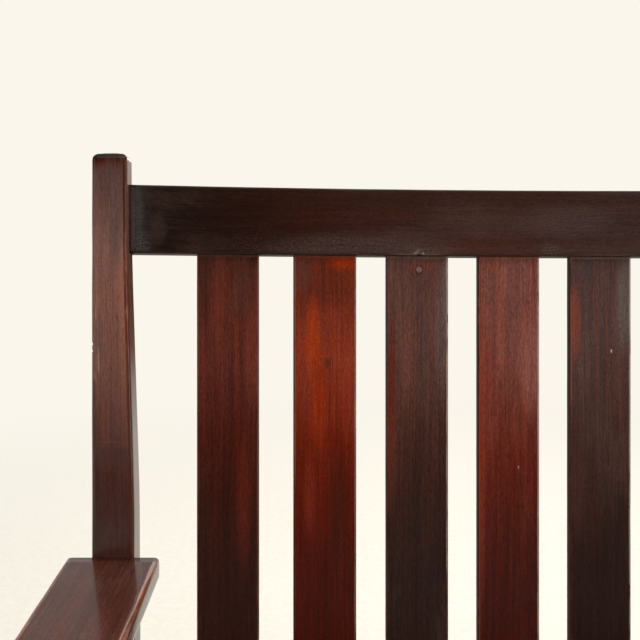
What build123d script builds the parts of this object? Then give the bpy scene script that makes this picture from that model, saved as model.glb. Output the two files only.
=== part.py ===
from build123d import *
import math
import os

os.makedirs("parts", exist_ok=True)

# Millimetres. X runs along the settle, the sitter faces -Y, Z is up, and the floor is at Z = 0.

# Overall stance; the width over the posts is worked out from the back slats
post_height = 1016.0
knee_height = 420.0
back_rake = 10.4
seat_opening_depth = 490.0
arm_height = 620.0
rail_top_height = 395.0

# Posts
post_width = 41.3
post_top_width = 34.3
front_post_depth = 41.3
back_post_depth = 38.0
back_post_top_depth = 27.0
post_taper_start = 250.0
post_taper_radius = 300.0
post_knee_radius = 200.0
post_edge_radius = 3.6
post_top_radius = 4.4
post_foot_chamfer = 2.5

# Bowed back: both rails and all the slats follow one cylinder
bow_radius = 3820.0
rail_thickness = 24.0
rail_setback = 11.0
rail_edge_ease = 2.2
top_rail_height = 68.0
top_rail_drop = 29.6
lower_rail_height = 60.0
lower_rail_lift = 25.0
back_tenon_length = 24.0
back_tenon_thickness = 8.0
back_tenon_offset = 4.0
back_tenon_shoulder = 9.0

# Back slats
slat_count = 10
slat_width = 63.5
slat_thickness = 12.0
slat_pitch = 96.9
end_slat_shift = 3.3
end_slat_gap = 65.6
slat_housing = 11.0
slat_edge_radius = 1.6

# Wooden plug let into the third slat from the left
plug_diameter = 6.4
plug_drop = 14.6
plug_offset = 2.2
plugged_slat_number = 3

# Arms and the slats under them
arm_width = 92.0
arm_thickness = 22.0
arm_front_overhang = 20.0
arm_corner_radius = 12.0
arm_edge_radius = 4.0
side_slat_count = 4
side_slat_width = 50.0
side_slat_thickness = 10.0
side_slat_housing = 10.0

# Seat rails
seat_rail_thickness = 22.0
seat_rail_height = 95.0
seat_rail_edge_radius = 2.4

# Stretchers
stretcher_centre_height = 135.0
side_stretcher_height = 38.0
side_stretcher_thickness = 20.0
long_stretcher_height = 50.0
long_stretcher_thickness = 22.0
stretcher_tenon_length = 20.0
stretcher_tenon_thickness = 10.0
stretcher_tenon_shoulder = 6.0
long_tenon_length = 12.0
stretcher_edge_radius = 2.4

# Dowels
dowel_diameter = 10.0
dowel_length = 50.0
rail_dowel_spacing = 60.0
side_dowel_spacing = 28.0
arm_dowel_diameter = 14.0
arm_dowel_length = 38.0
arm_dowel_rise = 14.0
frame_dowel_diameter = 8.0
frame_dowel_length = 40.0
frame_dowel_spacing = 24.0

# Corner blocks, cleats and bearer that carry the seat
support_drop = 35.0
corner_block_leg = 70.0
corner_block_height = 45.0
cleat_size = 20.0
cleat_screws_each = 3
bearer_width = 45.0
bearer_thickness = 22.0

# Screws
screw_shank_diameter = 4.5
screw_head_diameter = 9.0
screw_head_height = 3.0
screw_point_length = 5.0
screw_bite = 14.0
block_screw_reach = 26.0
block_screw_spacing = 22.0
arm_screw_bite = 36.0
arm_plug_diameter = 10.0
arm_plug_depth = 7.0
arm_plug_dome = 1.5

# Glides under the feet
glide_diameter = 20.0
glide_height = 4.0
glide_flat_diameter = 11.0
glide_nail_diameter = 3.0
glide_nail_length = 15.0

# Drop-in seat
seat_clearance = 3.0
seat_bar_width = 50.0
seat_bar_thickness = 20.0
webbing_width = 50.0
webbing_thickness = 1.5
webbing_margin = 8.0
long_webbing_count = 3
cross_webbing_count = 8
cushion_side_height = 44.0
cushion_crown = 17.0
cushion_shoulder_radius = 15.0
cushion_side_pull = 5.0
cushion_corner_radius = 26.0
cushion_shoulder_margin = 3.0
cushion_rest_gap = 0.3

# Fits and cuts
glue_gap = 0.1
end_gap = 1.0
overrun = 5.0
upright_share = 0.7

# Places worked out from the sizes above
end_slat_x = (slat_count - 1) * slat_pitch / 2 + end_slat_shift
inner_half_top = end_slat_x + slat_width / 2 + end_slat_gap
half_width = inner_half_top + post_top_width
inner_half = half_width - post_width
rake_sin = math.sin(math.radians(back_rake))
rake_cos = math.cos(math.radians(back_rake))
post_reach = (post_height - knee_height) / rake_cos
top_rail_high = post_reach - top_rail_drop
top_rail_low = top_rail_high - top_rail_height
lower_rail_low = lower_rail_lift
lower_rail_high = lower_rail_lift + lower_rail_height
bow_centre = rail_setback - math.sqrt(bow_radius**2 - inner_half_top**2)
slat_line_radius = bow_radius + rail_thickness / 2
bow_rear = bow_centre + bow_radius + rail_thickness
rail_rear_reach = bow_rear * rake_cos + (top_rail_high - rail_edge_ease) * rake_sin
total_depth = arm_front_overhang + front_post_depth + seat_opening_depth + rail_rear_reach
front_post_y = arm_front_overhang - total_depth / 2
opening_front_y = front_post_y + front_post_depth
knee_y = opening_front_y + seat_opening_depth
rail_bottom_height = rail_top_height - seat_rail_height
rail_mid_height = rail_top_height - seat_rail_height / 2
support_height = rail_top_height - support_drop
side_rail_x = -inner_half - seat_rail_thickness / 2
arm_underside = arm_height - arm_thickness
arm_x = -half_width + post_width / 2

# The raked back is drawn upright in its own frame: x along the settle, y away from the sitter, z up the slope
back_frame = Plane(origin=(0, knee_y, knee_height), x_dir=(1, 0, 0), z_dir=(0, rake_sin, rake_cos)).location


def write_part(name, shape):
    export_step(shape, os.path.join("parts", name + ".step"))


def group(pieces):
    return Compound(children=list(pieces))


def mirrored(shape):
    return mirror(shape, about=Plane.YZ)


# A block between two opposite corners, in x, y, z
def block(low, high):
    size = [b - a for a, b in zip(low, high)]
    middle = [(a + b) / 2 for a, b in zip(low, high)]
    return Pos(*middle) * Box(*size)


def grown_block(low, high, gap):
    return block([a - gap for a in low], [b + gap for b in high])


def eased_block(low, high, axis, radius):
    plain = block(low, high)
    return fillet(plain.edges().filter_by(axis), radius)


# A round bar from one point to another
def rod(start, end, radius):
    run = Vector(*end) - Vector(*start)
    place = Plane(origin=start, z_dir=run.normalized()).location
    return place * Cylinder(radius, run.length, align=(Align.CENTER, Align.CENTER, Align.MIN))


# A countersunk wood screw, its head's top at the origin and its point down; a gap makes it its own hole
def wood_screw(length, gap=0.0, head_room=0.0):
    shank = screw_shank_diameter / 2 + gap
    head = screw_head_diameter / 2 + gap
    outline = [(0, head_room), (head, head_room)]
    if head_room > 0:
        outline.append((head, 0))
    outline.append((shank, -screw_head_height))
    outline.append((shank, screw_point_length - length))
    outline.append((0, -length - gap))
    profile = make_face(Polyline(*outline, close=True))
    return revolve(Plane.XZ * profile, axis=Axis.Z)


def screw_place(head_point, direction):
    return Plane(origin=head_point, z_dir=tuple(-c for c in direction)).location


# Height of a point on the raked back, from its distance up the slope
def back_point(away, up):
    return (knee_y + away * rake_cos + up * rake_sin, knee_height - away * rake_sin + up * rake_cos)


def bow_depth(radius, x):
    return bow_centre + math.sqrt(radius**2 - x**2)


# A rail sawn to the bow, with a straight tenon at each end
def bowed_rail(low, high, half_length):
    plain = Rectangle(rail_thickness, high - low)
    section = Plane.YZ * chamfer(plain.vertices(), rail_edge_ease)
    sweep = math.degrees(math.asin((half_length + overrun) / bow_radius))
    axis = Axis((0, bow_centre, 0), (0, 0, 1))
    start = Pos(0, slat_line_radius, (low + high) / 2) * section
    start = Pos(0, bow_centre, 0) * Rot(0, 0, -sweep) * start
    rail = revolve(start, axis=axis, revolution_arc=sweep + sweep)
    rear = bow_centre + bow_radius + rail_thickness + overrun
    rail &= block((-half_length, 0, low - overrun), (half_length, rear, high + overrun))
    for side in (-1, 1):
        rail += block(*tenon_corners(low, high, half_length, side))
    return rail


def tenon_corners(low, high, half_length, side):
    near = bow_depth(bow_radius, half_length) + back_tenon_offset
    ends = sorted((side * half_length, side * (half_length + back_tenon_length)))
    corner_low = (ends[0], near, low + back_tenon_shoulder)
    corner_high = (ends[1], near + back_tenon_thickness, high - back_tenon_shoulder)
    return corner_low, corner_high


def back_mortise(low, high, half_length):
    corner_low, corner_high = tenon_corners(low, high, half_length, -1)
    corner_low = (corner_low[0] - end_gap, corner_low[1], corner_low[2])
    return grown_block(corner_low, corner_high, glue_gap)


def slat_x(index):
    if index == 0:
        return -end_slat_x
    if index == slat_count - 1:
        return end_slat_x
    return (index - (slat_count - 1) / 2) * slat_pitch


# Where a slat stands on the bow, turned to face the bow's centre
def slat_place(index, up):
    x = slat_x(index)
    turn = math.degrees(math.asin(x / slat_line_radius))
    return Pos(x, bow_depth(slat_line_radius, x), up) * Rot(0, 0, -turn)


def slat_blank(width, thickness, length):
    return Box(width, thickness, length, align=(Align.CENTER, Align.CENTER, Align.MIN))


def back_slat(index):
    low = lower_rail_high - slat_housing
    length = top_rail_low + slat_housing - low
    blank = slat_blank(slat_width, slat_thickness, length)
    blank = fillet(blank.edges().filter_by(Axis.Z), slat_edge_radius)
    slat = slat_place(index, low) * blank
    if index == plugged_slat_number - 1:
        slat -= slat_plug(glue_gap)
    return slat


def slat_plug(gap=0.0):
    place = slat_place(plugged_slat_number - 1, top_rail_low - plug_drop) * Pos(plug_offset, 0, 0)
    return place * Rot(90, 0, 0) * Cylinder(plug_diameter / 2 + gap, slat_thickness)


# The slot that a slat's end sits in, cut down or up from the rail's edge
def slat_slot(index, low):
    width = slat_width + glue_gap + glue_gap
    thickness = slat_thickness + glue_gap + glue_gap
    depth = slat_housing + end_gap + overrun
    return slat_place(index, low) * slat_blank(width, thickness, depth)


def top_back_rail():
    rail = bowed_rail(top_rail_low, top_rail_high, inner_half_top)
    for index in range(slat_count):
        rail -= slat_slot(index, top_rail_low - overrun)
    return rail


def lower_back_rail():
    rail = bowed_rail(lower_rail_low, lower_rail_high, inner_half)
    for index in range(slat_count):
        rail -= slat_slot(index, lower_rail_high - slat_housing - end_gap)
    return rail


# Side view of the back post: upright to the knee, then raked and thinner towards the top
def back_post_profile():
    mitre_drop = back_post_depth * math.tan(math.radians(back_rake / 2))
    rear_y = knee_y + back_post_depth
    outline = [
        (knee_y, glide_height),
        (rear_y, glide_height),
        (rear_y, knee_height - mitre_drop),
        back_point(back_post_top_depth, post_reach),
        back_point(0, post_reach),
        (knee_y, knee_height),
    ]
    profile = make_face(Polyline(*outline, close=True))
    bends = profile.vertices().filter_by(lambda v: abs(v.Y - knee_height) <= mitre_drop)
    return fillet(bends, post_knee_radius)


# What the taper takes off the post's inner side, drawn in the back's frame for the left post
def post_taper():
    far = -inner_half + post_width
    outline = [
        (-inner_half, 0),
        (-inner_half, post_taper_start),
        (-inner_half_top, top_rail_low),
        (-inner_half_top, post_reach + overrun),
        (far, post_reach + overrun),
        (far, 0),
    ]
    side = make_face(Polyline(*outline, close=True))
    bends = side.vertices().filter_by(lambda v: overrun < v.Y < post_reach)
    side = fillet(bends, post_taper_radius)
    reach = back_post_depth + overrun
    return back_frame * extrude(Plane.XZ * side, amount=reach, both=True)


def upright_edges(shape):
    return shape.edges().filter_by(lambda e: abs((e % 0.5).Z) > upright_share)


def back_post_blank():
    start = Plane(origin=(-half_width, 0, 0), x_dir=(0, 1, 0), z_dir=(1, 0, 0))
    post = extrude(start * back_post_profile(), amount=post_width)
    post -= post_taper()
    post = fillet(upright_edges(post), post_edge_radius)
    top = post.faces().sort_by(Axis.Z)[-1]
    post = fillet(top.edges(), post_top_radius)
    foot = post.faces().sort_by(Axis.Z)[0]
    return chamfer(foot.edges(), post_foot_chamfer)


def back_post():
    post = back_post_blank()
    post -= back_frame * back_mortise(top_rail_low, top_rail_high, inner_half_top)
    post -= back_frame * back_mortise(lower_rail_low, lower_rail_high, inner_half)
    for hole in back_rail_dowels(glue_gap) + side_rail_dowels_back(glue_gap):
        post -= hole
    post -= side_stretcher_mortise(knee_y, 1)
    post -= arm_screw_hole()
    post -= foot_hole(knee_y + back_post_depth / 2)
    return post


def front_post():
    low = (-half_width, front_post_y, glide_height)
    high = (-half_width + post_width, opening_front_y, arm_underside)
    post = eased_block(low, high, Axis.Z, post_edge_radius)
    foot = post.faces().sort_by(Axis.Z)[0]
    post = chamfer(foot.edges(), post_foot_chamfer)
    for hole in front_rail_dowels(glue_gap) + side_rail_dowels_front(glue_gap):
        post -= hole
    post -= side_stretcher_mortise(opening_front_y, -1)
    post -= arm_dowel(glue_gap)
    post -= foot_hole(front_post_y + front_post_depth / 2)
    return post


# Dowels, for the left end of each rail
def row_dowel(start, end, gap):
    if gap == 0:
        return rod(start, end, dowel_diameter / 2)
    run = (Vector(*end) - Vector(*start)).normalized() * end_gap
    return rod(tuple(Vector(*start) - run), tuple(Vector(*end) + run), dowel_diameter / 2 + gap)


def cross_rail_dowels(y, gap):
    pieces = []
    for side in (-1, 1):
        z = rail_mid_height + side * rail_dowel_spacing / 2
        start = (-inner_half - dowel_length / 2, y, z)
        end = (-inner_half + dowel_length / 2, y, z)
        pieces.append(row_dowel(start, end, gap))
    return pieces


def front_rail_dowels(gap=0.0):
    return cross_rail_dowels(opening_front_y - seat_rail_thickness / 2, gap)


def back_rail_dowels(gap=0.0):
    return cross_rail_dowels(knee_y + seat_rail_thickness / 2, gap)


def end_rail_dowels(y, gap):
    pieces = []
    for side in (-1, 1):
        z = rail_mid_height + side * side_dowel_spacing / 2
        start = (side_rail_x, y - dowel_length / 2, z)
        end = (side_rail_x, y + dowel_length / 2, z)
        pieces.append(row_dowel(start, end, gap))
    return pieces


def side_rail_dowels_front(gap=0.0):
    return end_rail_dowels(opening_front_y, gap)


def side_rail_dowels_back(gap=0.0):
    return end_rail_dowels(knee_y, gap)


def arm_dowel(gap=0.0):
    y = front_post_y + front_post_depth / 2
    low = arm_underside + arm_dowel_rise - arm_dowel_length
    high = arm_underside + arm_dowel_rise
    if gap > 0:
        low -= end_gap
        high += end_gap
    return rod((arm_x, y, low), (arm_x, y, high), arm_dowel_diameter / 2 + gap)


# Seat rails, their inner faces flush with the posts
def front_seat_rail():
    low = (-inner_half, opening_front_y - seat_rail_thickness, rail_bottom_height)
    high = (inner_half, opening_front_y, rail_top_height)
    rail = eased_block(low, high, Axis.X, seat_rail_edge_radius)
    return cross_rail_drilled(rail, front_rail_dowels(glue_gap), opening_front_y, -1)


def back_seat_rail():
    low = (-inner_half, knee_y, rail_bottom_height)
    high = (inner_half, knee_y + seat_rail_thickness, rail_top_height)
    rail = eased_block(low, high, Axis.X, seat_rail_edge_radius)
    return cross_rail_drilled(rail, back_rail_dowels(glue_gap), knee_y, 1)


def cross_rail_drilled(rail, dowels, face_y, side):
    for hole in dowels:
        rail -= hole
        rail -= mirrored(hole)
    for place in cleat_screw_places(face_y, side):
        rail -= place * wood_screw(cleat_size + screw_bite, glue_gap)
    for place in cross_block_screw_places(face_y, side):
        hole = place * wood_screw(block_screw_reach + screw_bite, glue_gap)
        rail -= hole
        rail -= mirrored(hole)
    return rail


def side_rail():
    low = (side_rail_x - seat_rail_thickness / 2, opening_front_y, rail_bottom_height)
    high = (side_rail_x + seat_rail_thickness / 2, knee_y, rail_top_height)
    rail = eased_block(low, high, Axis.Y, seat_rail_edge_radius)
    for hole in side_rail_dowels_front(glue_gap) + side_rail_dowels_back(glue_gap):
        rail -= hole
    for index in range(side_slat_count):
        rail -= side_slat_slot(index, rail_top_height - side_slat_housing - end_gap)
    for place in end_block_screw_places():
        rail -= place * wood_screw(block_screw_reach + screw_bite, glue_gap)
    return rail


# Slats under the arm, evenly spaced between the posts
def side_slat_y(index):
    gap = (seat_opening_depth - side_slat_count * side_slat_width) / (side_slat_count + 1)
    return opening_front_y + gap + side_slat_width / 2 + index * (gap + side_slat_width)


def side_slat(index):
    low_z = rail_top_height - side_slat_housing
    high_z = arm_underside + side_slat_housing
    half_t = side_slat_thickness / 2
    half_w = side_slat_width / 2
    y = side_slat_y(index)
    low = (side_rail_x - half_t, y - half_w, low_z)
    high = (side_rail_x + half_t, y + half_w, high_z)
    return eased_block(low, high, Axis.Z, slat_edge_radius)


def side_slat_slot(index, low_z):
    half_t = side_slat_thickness / 2 + glue_gap
    half_w = side_slat_width / 2 + glue_gap
    y = side_slat_y(index)
    high_z = low_z + side_slat_housing + end_gap + overrun
    return block((side_rail_x - half_t, y - half_w, low_z), (side_rail_x + half_t, y + half_w, high_z))


# The arm, a flat board that stops against the raked face of the back post
def arm():
    rear_y = back_point(0, post_reach)[0]
    low = (arm_x - arm_width / 2, front_post_y - arm_front_overhang, arm_underside)
    high = (arm_x + arm_width / 2, rear_y, arm_height)
    board = block(low, high)
    behind = block((-half_width - arm_width, 0, -post_reach), (0, post_reach, post_reach))
    board -= back_frame * behind
    corners = board.edges().filter_by(Axis.Z).filter_by(lambda e: e.center().Y < front_post_y)
    board = fillet(corners, arm_corner_radius)
    rim = board.faces().filter_by(Axis.Z)
    rim_edges = rim.edges().filter_by(lambda e: e.center().Y < knee_y)
    board = fillet(rim_edges, arm_edge_radius)
    for index in range(side_slat_count):
        board -= side_slat_slot(index, arm_underside - overrun)
    board -= arm_dowel(glue_gap)
    board -= arm_screw_hole()
    return board


# Screw from behind the back post into the end of the arm, under a plug
def arm_screw_up():
    rise = arm_screw_bite * rake_sin
    return (arm_height - arm_thickness / 2 - rise / 2 - knee_height) / rake_cos


def post_depth_at(up):
    return back_post_depth + (back_post_top_depth - back_post_depth) * up / post_reach


def arm_screw_seat():
    return post_depth_at(arm_screw_up()) - arm_plug_depth


def arm_screw_place():
    return back_frame * Plane(origin=(arm_x, arm_screw_seat(), arm_screw_up()), z_dir=(0, 1, 0)).location


def arm_screw(gap=0.0):
    return arm_screw_place() * wood_screw(arm_screw_seat() + arm_screw_bite, gap)


def arm_plug():
    half = arm_plug_diameter / 2
    base = Cylinder(half, arm_plug_depth, align=(Align.CENTER, Align.CENTER, Align.MIN))
    rise = arm_plug_depth + arm_plug_dome
    crown = ThreePointArc((-half, arm_plug_depth), (0, rise), (half, arm_plug_depth))
    chord = Line((half, arm_plug_depth), (-half, arm_plug_depth))
    half_crown = split(make_face([crown, chord]), bisect_by=Plane.YZ)
    dome = revolve(Plane.XZ * half_crown, axis=Axis.Z)
    return arm_screw_place() * (base + dome)


def arm_screw_hole():
    radius = arm_plug_diameter / 2 + glue_gap
    room = arm_plug_depth + overrun
    counterbore = Cylinder(radius, room, align=(Align.CENTER, Align.CENTER, Align.MIN))
    return arm_screw(glue_gap) + arm_screw_place() * counterbore


# Stretchers
def stretcher_tenon(face_y, side, gap=0.0):
    half_t = stretcher_tenon_thickness / 2 + gap
    half_h = side_stretcher_height / 2 - stretcher_tenon_shoulder + gap
    reach = stretcher_tenon_length
    if gap > 0:
        reach += end_gap
    ends = sorted((face_y, face_y + side * reach))
    low = (side_rail_x - half_t, ends[0], stretcher_centre_height - half_h)
    high = (side_rail_x + half_t, ends[1], stretcher_centre_height + half_h)
    return block(low, high)


def side_stretcher_mortise(face_y, side):
    return stretcher_tenon(face_y, side, glue_gap)


def side_stretcher():
    half_t = side_stretcher_thickness / 2
    half_h = side_stretcher_height / 2
    low = (side_rail_x - half_t, opening_front_y, stretcher_centre_height - half_h)
    high = (side_rail_x + half_t, knee_y, stretcher_centre_height + half_h)
    bar = eased_block(low, high, Axis.Y, stretcher_edge_radius)
    bar += stretcher_tenon(opening_front_y, -1)
    bar += stretcher_tenon(knee_y, 1)
    return bar - long_stretcher_tenon(glue_gap)


def long_stretcher_y():
    return (opening_front_y + knee_y) / 2


def long_stretcher_half():
    return -side_rail_x - side_stretcher_thickness / 2


def long_stretcher_tenon(gap=0.0):
    half_t = stretcher_tenon_thickness / 2 + gap
    half_h = side_stretcher_height / 2 - stretcher_tenon_shoulder + gap
    reach = long_stretcher_half() + long_tenon_length
    if gap > 0:
        reach += end_gap
    y = long_stretcher_y()
    low = (-reach, y - half_t, stretcher_centre_height - half_h)
    high = (-long_stretcher_half(), y + half_t, stretcher_centre_height + half_h)
    return block(low, high)


def long_stretcher():
    half_t = long_stretcher_thickness / 2
    half_h = long_stretcher_height / 2
    half_length = long_stretcher_half()
    y = long_stretcher_y()
    low = (-half_length, y - half_t, stretcher_centre_height - half_h)
    high = (half_length, y + half_t, stretcher_centre_height + half_h)
    bar = eased_block(low, high, Axis.X, stretcher_edge_radius)
    tenon = long_stretcher_tenon()
    return bar + tenon + mirrored(tenon)


# Triangular blocks in the four corners of the seat frame
def corner_block(face_y, side):
    low = support_height - corner_block_height
    corner = (-inner_half, face_y)
    along = (-inner_half + corner_block_leg, face_y)
    across = (-inner_half, face_y + side * corner_block_leg)
    plan = make_face(Polyline(corner, along, across, close=True))
    piece = extrude(Pos(0, 0, low) * plan, amount=corner_block_height, dir=(0, 0, 1))
    for place in cross_block_screw_places(face_y, -side) + end_block_screw_places(face_y, side):
        piece -= place * wood_screw(block_screw_reach + screw_bite, glue_gap, corner_block_leg)
    return piece


def block_screw_height(upper):
    middle = support_height - corner_block_height / 2
    return middle + (block_screw_spacing if upper else -block_screw_spacing) / 2


# Screws through a block into the front or back rail; side is -1 for the rail in front of the opening
def cross_block_screw_places(face_y, side):
    x = -inner_half + corner_block_leg / 2
    head = (x, face_y - side * block_screw_reach, block_screw_height(True))
    return [screw_place(head, (0, side, 0))]


# Screws through a block into the side rail
def end_block_screw_places(face_y=None, side=None):
    faces = [(opening_front_y, 1), (knee_y, -1)] if face_y is None else [(face_y, side)]
    places = []
    for corner_y, inward in faces:
        y = corner_y + inward * corner_block_leg / 2
        head = (-inner_half + block_screw_reach, y, block_screw_height(False))
        places.append(screw_place(head, (-1, 0, 0)))
    return places


def left_corner_blocks():
    return [corner_block(opening_front_y, 1), corner_block(knee_y, -1)]


def block_screws():
    places = cross_block_screw_places(opening_front_y, -1) + cross_block_screw_places(knee_y, 1)
    places += end_block_screw_places()
    return [place * wood_screw(block_screw_reach + screw_bite) for place in places]


# Cleats along the front and back rails, from the corner blocks to the bearer
def cleat_ends():
    return -inner_half + corner_block_leg, -bearer_width / 2


def cleat_screw_places(face_y, side):
    start, end = cleat_ends()
    z = support_height - cleat_size / 2
    places = []
    for index in range(cleat_screws_each):
        x = start + (end - start) * (index + 0.5) / cleat_screws_each
        for sign in (1, -1):
            places.append(screw_place((sign * x, face_y - side * cleat_size, z), (0, side, 0)))
    return places


def cleat(face_y, side):
    start, end = cleat_ends()
    ys = sorted((face_y, face_y - side * cleat_size))
    piece = block((start, ys[0], support_height - cleat_size), (end, ys[1], support_height))
    for place in cleat_screw_places(face_y, side):
        piece -= place * wood_screw(cleat_size + screw_bite, glue_gap)
    return piece


def left_cleats():
    return [cleat(opening_front_y, -1), cleat(knee_y, 1)]


def cleat_screws():
    places = cleat_screw_places(opening_front_y, -1) + cleat_screw_places(knee_y, 1)
    return [place * wood_screw(cleat_size + screw_bite) for place in places]


def seat_bearer():
    low = (-bearer_width / 2, opening_front_y, support_height - bearer_thickness)
    high = (bearer_width / 2, knee_y, support_height)
    return eased_block(low, high, Axis.Y, stretcher_edge_radius)


# Domed glides nailed under the feet
def glide(y, gap=0.0):
    flat = glide_flat_diameter / 2
    rim = glide_diameter / 2
    nail = glide_nail_diameter / 2 + gap
    top = glide_height + glide_nail_length
    if gap > 0:
        return rod((arm_x, y, glide_height), (arm_x, y, top + end_gap), nail)
    bulge_x = (flat + rim) / 2 + glide_height / 4
    bulge_z = glide_height / 2 - glide_height / 4
    dome = ThreePointArc((flat, 0), (bulge_x, bulge_z), (rim, glide_height))
    rest = Polyline((rim, glide_height), (nail, glide_height), (nail, top), (0, top), (0, 0), (flat, 0))
    profile = make_face([dome, rest])
    return Pos(arm_x, y, 0) * revolve(Plane.XZ * profile, axis=Axis.Z)


def foot_hole(y):
    return glide(y, glue_gap)


def left_glides():
    return [glide(front_post_y + front_post_depth / 2), glide(knee_y + back_post_depth / 2)]


# Drop-in seat: a doweled frame, two layers of webbing and a crowned cushion
seat_half_x = inner_half - seat_clearance
seat_front_y = opening_front_y + seat_clearance
seat_back_y = knee_y - seat_clearance
seat_bar_top = support_height + seat_bar_thickness
webbing_top = seat_bar_top + webbing_thickness + webbing_thickness


def seat_long_bar(y_low):
    low = (-seat_half_x, y_low, support_height)
    high = (seat_half_x, y_low + seat_bar_width, seat_bar_top)
    bar = eased_block(low, high, Axis.X, slat_edge_radius)
    for hole in seat_dowels(glue_gap):
        bar -= hole
    return bar


def seat_short_bar(x):
    low = (x - seat_bar_width / 2, seat_front_y + seat_bar_width, support_height)
    high = (x + seat_bar_width / 2, seat_back_y - seat_bar_width, seat_bar_top)
    bar = eased_block(low, high, Axis.Y, slat_edge_radius)
    for hole in seat_dowels(glue_gap):
        bar -= hole
    return bar


def seat_bar_places():
    edge = seat_half_x - seat_bar_width / 2
    return [-edge, 0, edge]


def seat_dowels(gap=0.0):
    z = support_height + seat_bar_thickness / 2
    radius = frame_dowel_diameter / 2 + gap
    reach = frame_dowel_length / 2
    if gap > 0:
        reach += end_gap
    pieces = []
    for x in seat_bar_places():
        for side in (-1, 1):
            for y in (seat_front_y + seat_bar_width, seat_back_y - seat_bar_width):
                place = x + side * frame_dowel_spacing / 2
                pieces.append(rod((place, y - reach, z), (place, y + reach, z), radius))
    return pieces


def spread(low, high, count, index):
    return low + (high - low) * (index + 0.5) / count


def long_webbing():
    strips = []
    for index in range(long_webbing_count):
        y = spread(seat_front_y + seat_bar_width, seat_back_y - seat_bar_width, long_webbing_count, index)
        low = (-seat_half_x + webbing_margin, y - webbing_width / 2, seat_bar_top)
        high = (seat_half_x - webbing_margin, y + webbing_width / 2, seat_bar_top + webbing_thickness)
        strips.append(block(low, high))
    return strips


def cross_webbing():
    strips = []
    for index in range(cross_webbing_count):
        x = spread(-seat_half_x + seat_bar_width, seat_half_x - seat_bar_width, cross_webbing_count, index)
        low = (x - webbing_width / 2, seat_front_y + webbing_margin, seat_bar_top + webbing_thickness)
        high = (x + webbing_width / 2, seat_back_y - webbing_margin, webbing_top)
        strips.append(block(low, high))
    return strips


# One side view of the cushion, upright to the shoulder, rounded over and crowned
def cushion_section(half_length, base):
    shoulder = base + cushion_side_height - cushion_shoulder_radius
    rim = base + cushion_side_height
    inner = half_length - cushion_shoulder_radius
    bend = cushion_shoulder_radius * math.sqrt(0.5)
    right_bend = ThreePointArc((half_length, shoulder), (inner + bend, shoulder + bend), (inner, rim))
    left_bend = ThreePointArc((-inner, rim), (-inner - bend, shoulder + bend), (-half_length, shoulder))
    top = ThreePointArc((inner, rim), (0, rim + cushion_crown), (-inner, rim))
    foot = [(-half_length, shoulder), (-half_length, base), (half_length, base), (half_length, shoulder)]
    return make_face([right_bend, top, left_bend, Polyline(*foot)])


# Plan of the cushion: round corners, and sides that draw in between them
def cushion_plan(half_x, half_y):
    r = cushion_corner_radius
    pull = cushion_side_pull
    corner = r * (1 - math.sqrt(0.5))
    edges = []
    for sx, sy in ((1, 1), (-1, 1), (-1, -1), (1, -1)):
        near = (sx * half_x, sy * (half_y - r))
        bend = (sx * (half_x - corner), sy * (half_y - corner))
        far = (sx * (half_x - r), sy * half_y)
        edges.append(ThreePointArc(near, bend, far))
    for sign in (-1, 1):
        side_x = sign * half_x
        side_y = sign * half_y
        edges.append(ThreePointArc((side_x, r - half_y), (side_x - sign * pull, 0), (side_x, half_y - r)))
        edges.append(ThreePointArc((r - half_x, side_y), (0, side_y - sign * pull), (half_x - r, side_y)))
    return make_face(edges)


def seat_cushion():
    half_y = (seat_back_y - seat_front_y) / 2
    base = webbing_top + cushion_rest_gap
    height = cushion_side_height + cushion_crown + cushion_crown
    long_reach = seat_half_x + cushion_shoulder_margin
    cross_reach = half_y + cushion_shoulder_margin
    lengthwise = extrude(Plane.XZ * cushion_section(long_reach, base), amount=cross_reach, both=True)
    crosswise = extrude(Plane.YZ * cushion_section(cross_reach, base), amount=long_reach, both=True)
    upright = extrude(Pos(0, 0, base) * cushion_plan(seat_half_x, half_y), amount=height, dir=(0, 0, 1))
    return Pos(0, (seat_front_y + seat_back_y) / 2, 0) * (lengthwise & crosswise & upright)


def both_sides(pieces):
    return pieces + [mirrored(piece) for piece in pieces]


def write_pair(name, shape):
    write_part(name + "_left", shape)
    write_part(name + "_right", mirrored(shape))


write_pair("back_post", back_post())
write_pair("front_post", front_post())
write_part("top_back_rail", back_frame * top_back_rail())
write_part("lower_back_rail", back_frame * lower_back_rail())
for number in range(slat_count):
    write_part(f"back_slat_{number + 1}", back_frame * back_slat(number))
write_part("slat_plug", back_frame * slat_plug())
write_pair("arm", arm())
write_part("arm_dowels", group(both_sides([arm_dowel()])))
write_part("arm_screws", group(both_sides([arm_screw()])))
write_part("arm_screw_plugs", group(both_sides([arm_plug()])))
for number in range(side_slat_count):
    write_pair(f"side_slat_{number + 1}", side_slat(number))
write_part("front_seat_rail", front_seat_rail())
write_part("back_seat_rail", back_seat_rail())
write_pair("side_seat_rail", side_rail())
rail_dowels = front_rail_dowels() + back_rail_dowels() + side_rail_dowels_front() + side_rail_dowels_back()
write_part("seat_rail_dowels", group(both_sides(rail_dowels)))
write_pair("side_stretcher", side_stretcher())
write_part("long_stretcher", long_stretcher())
write_part("corner_blocks", group(both_sides(left_corner_blocks())))
write_part("corner_block_screws", group(both_sides(block_screws())))
write_part("seat_cleats", group(both_sides(left_cleats())))
write_part("cleat_screws", group(cleat_screws()))
write_part("seat_bearer", seat_bearer())
write_part("foot_glides", group(both_sides(left_glides())))
write_part("seat_frame_front", seat_long_bar(seat_front_y))
write_part("seat_frame_back", seat_long_bar(seat_back_y - seat_bar_width))
for place, label in zip(seat_bar_places(), ("left", "middle", "right")):
    write_part(f"seat_frame_{label}", seat_short_bar(place))
write_part("seat_frame_dowels", group(seat_dowels()))
write_part("seat_webbing_long", group(long_webbing()))
write_part("seat_webbing_cross", group(cross_webbing()))
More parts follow.
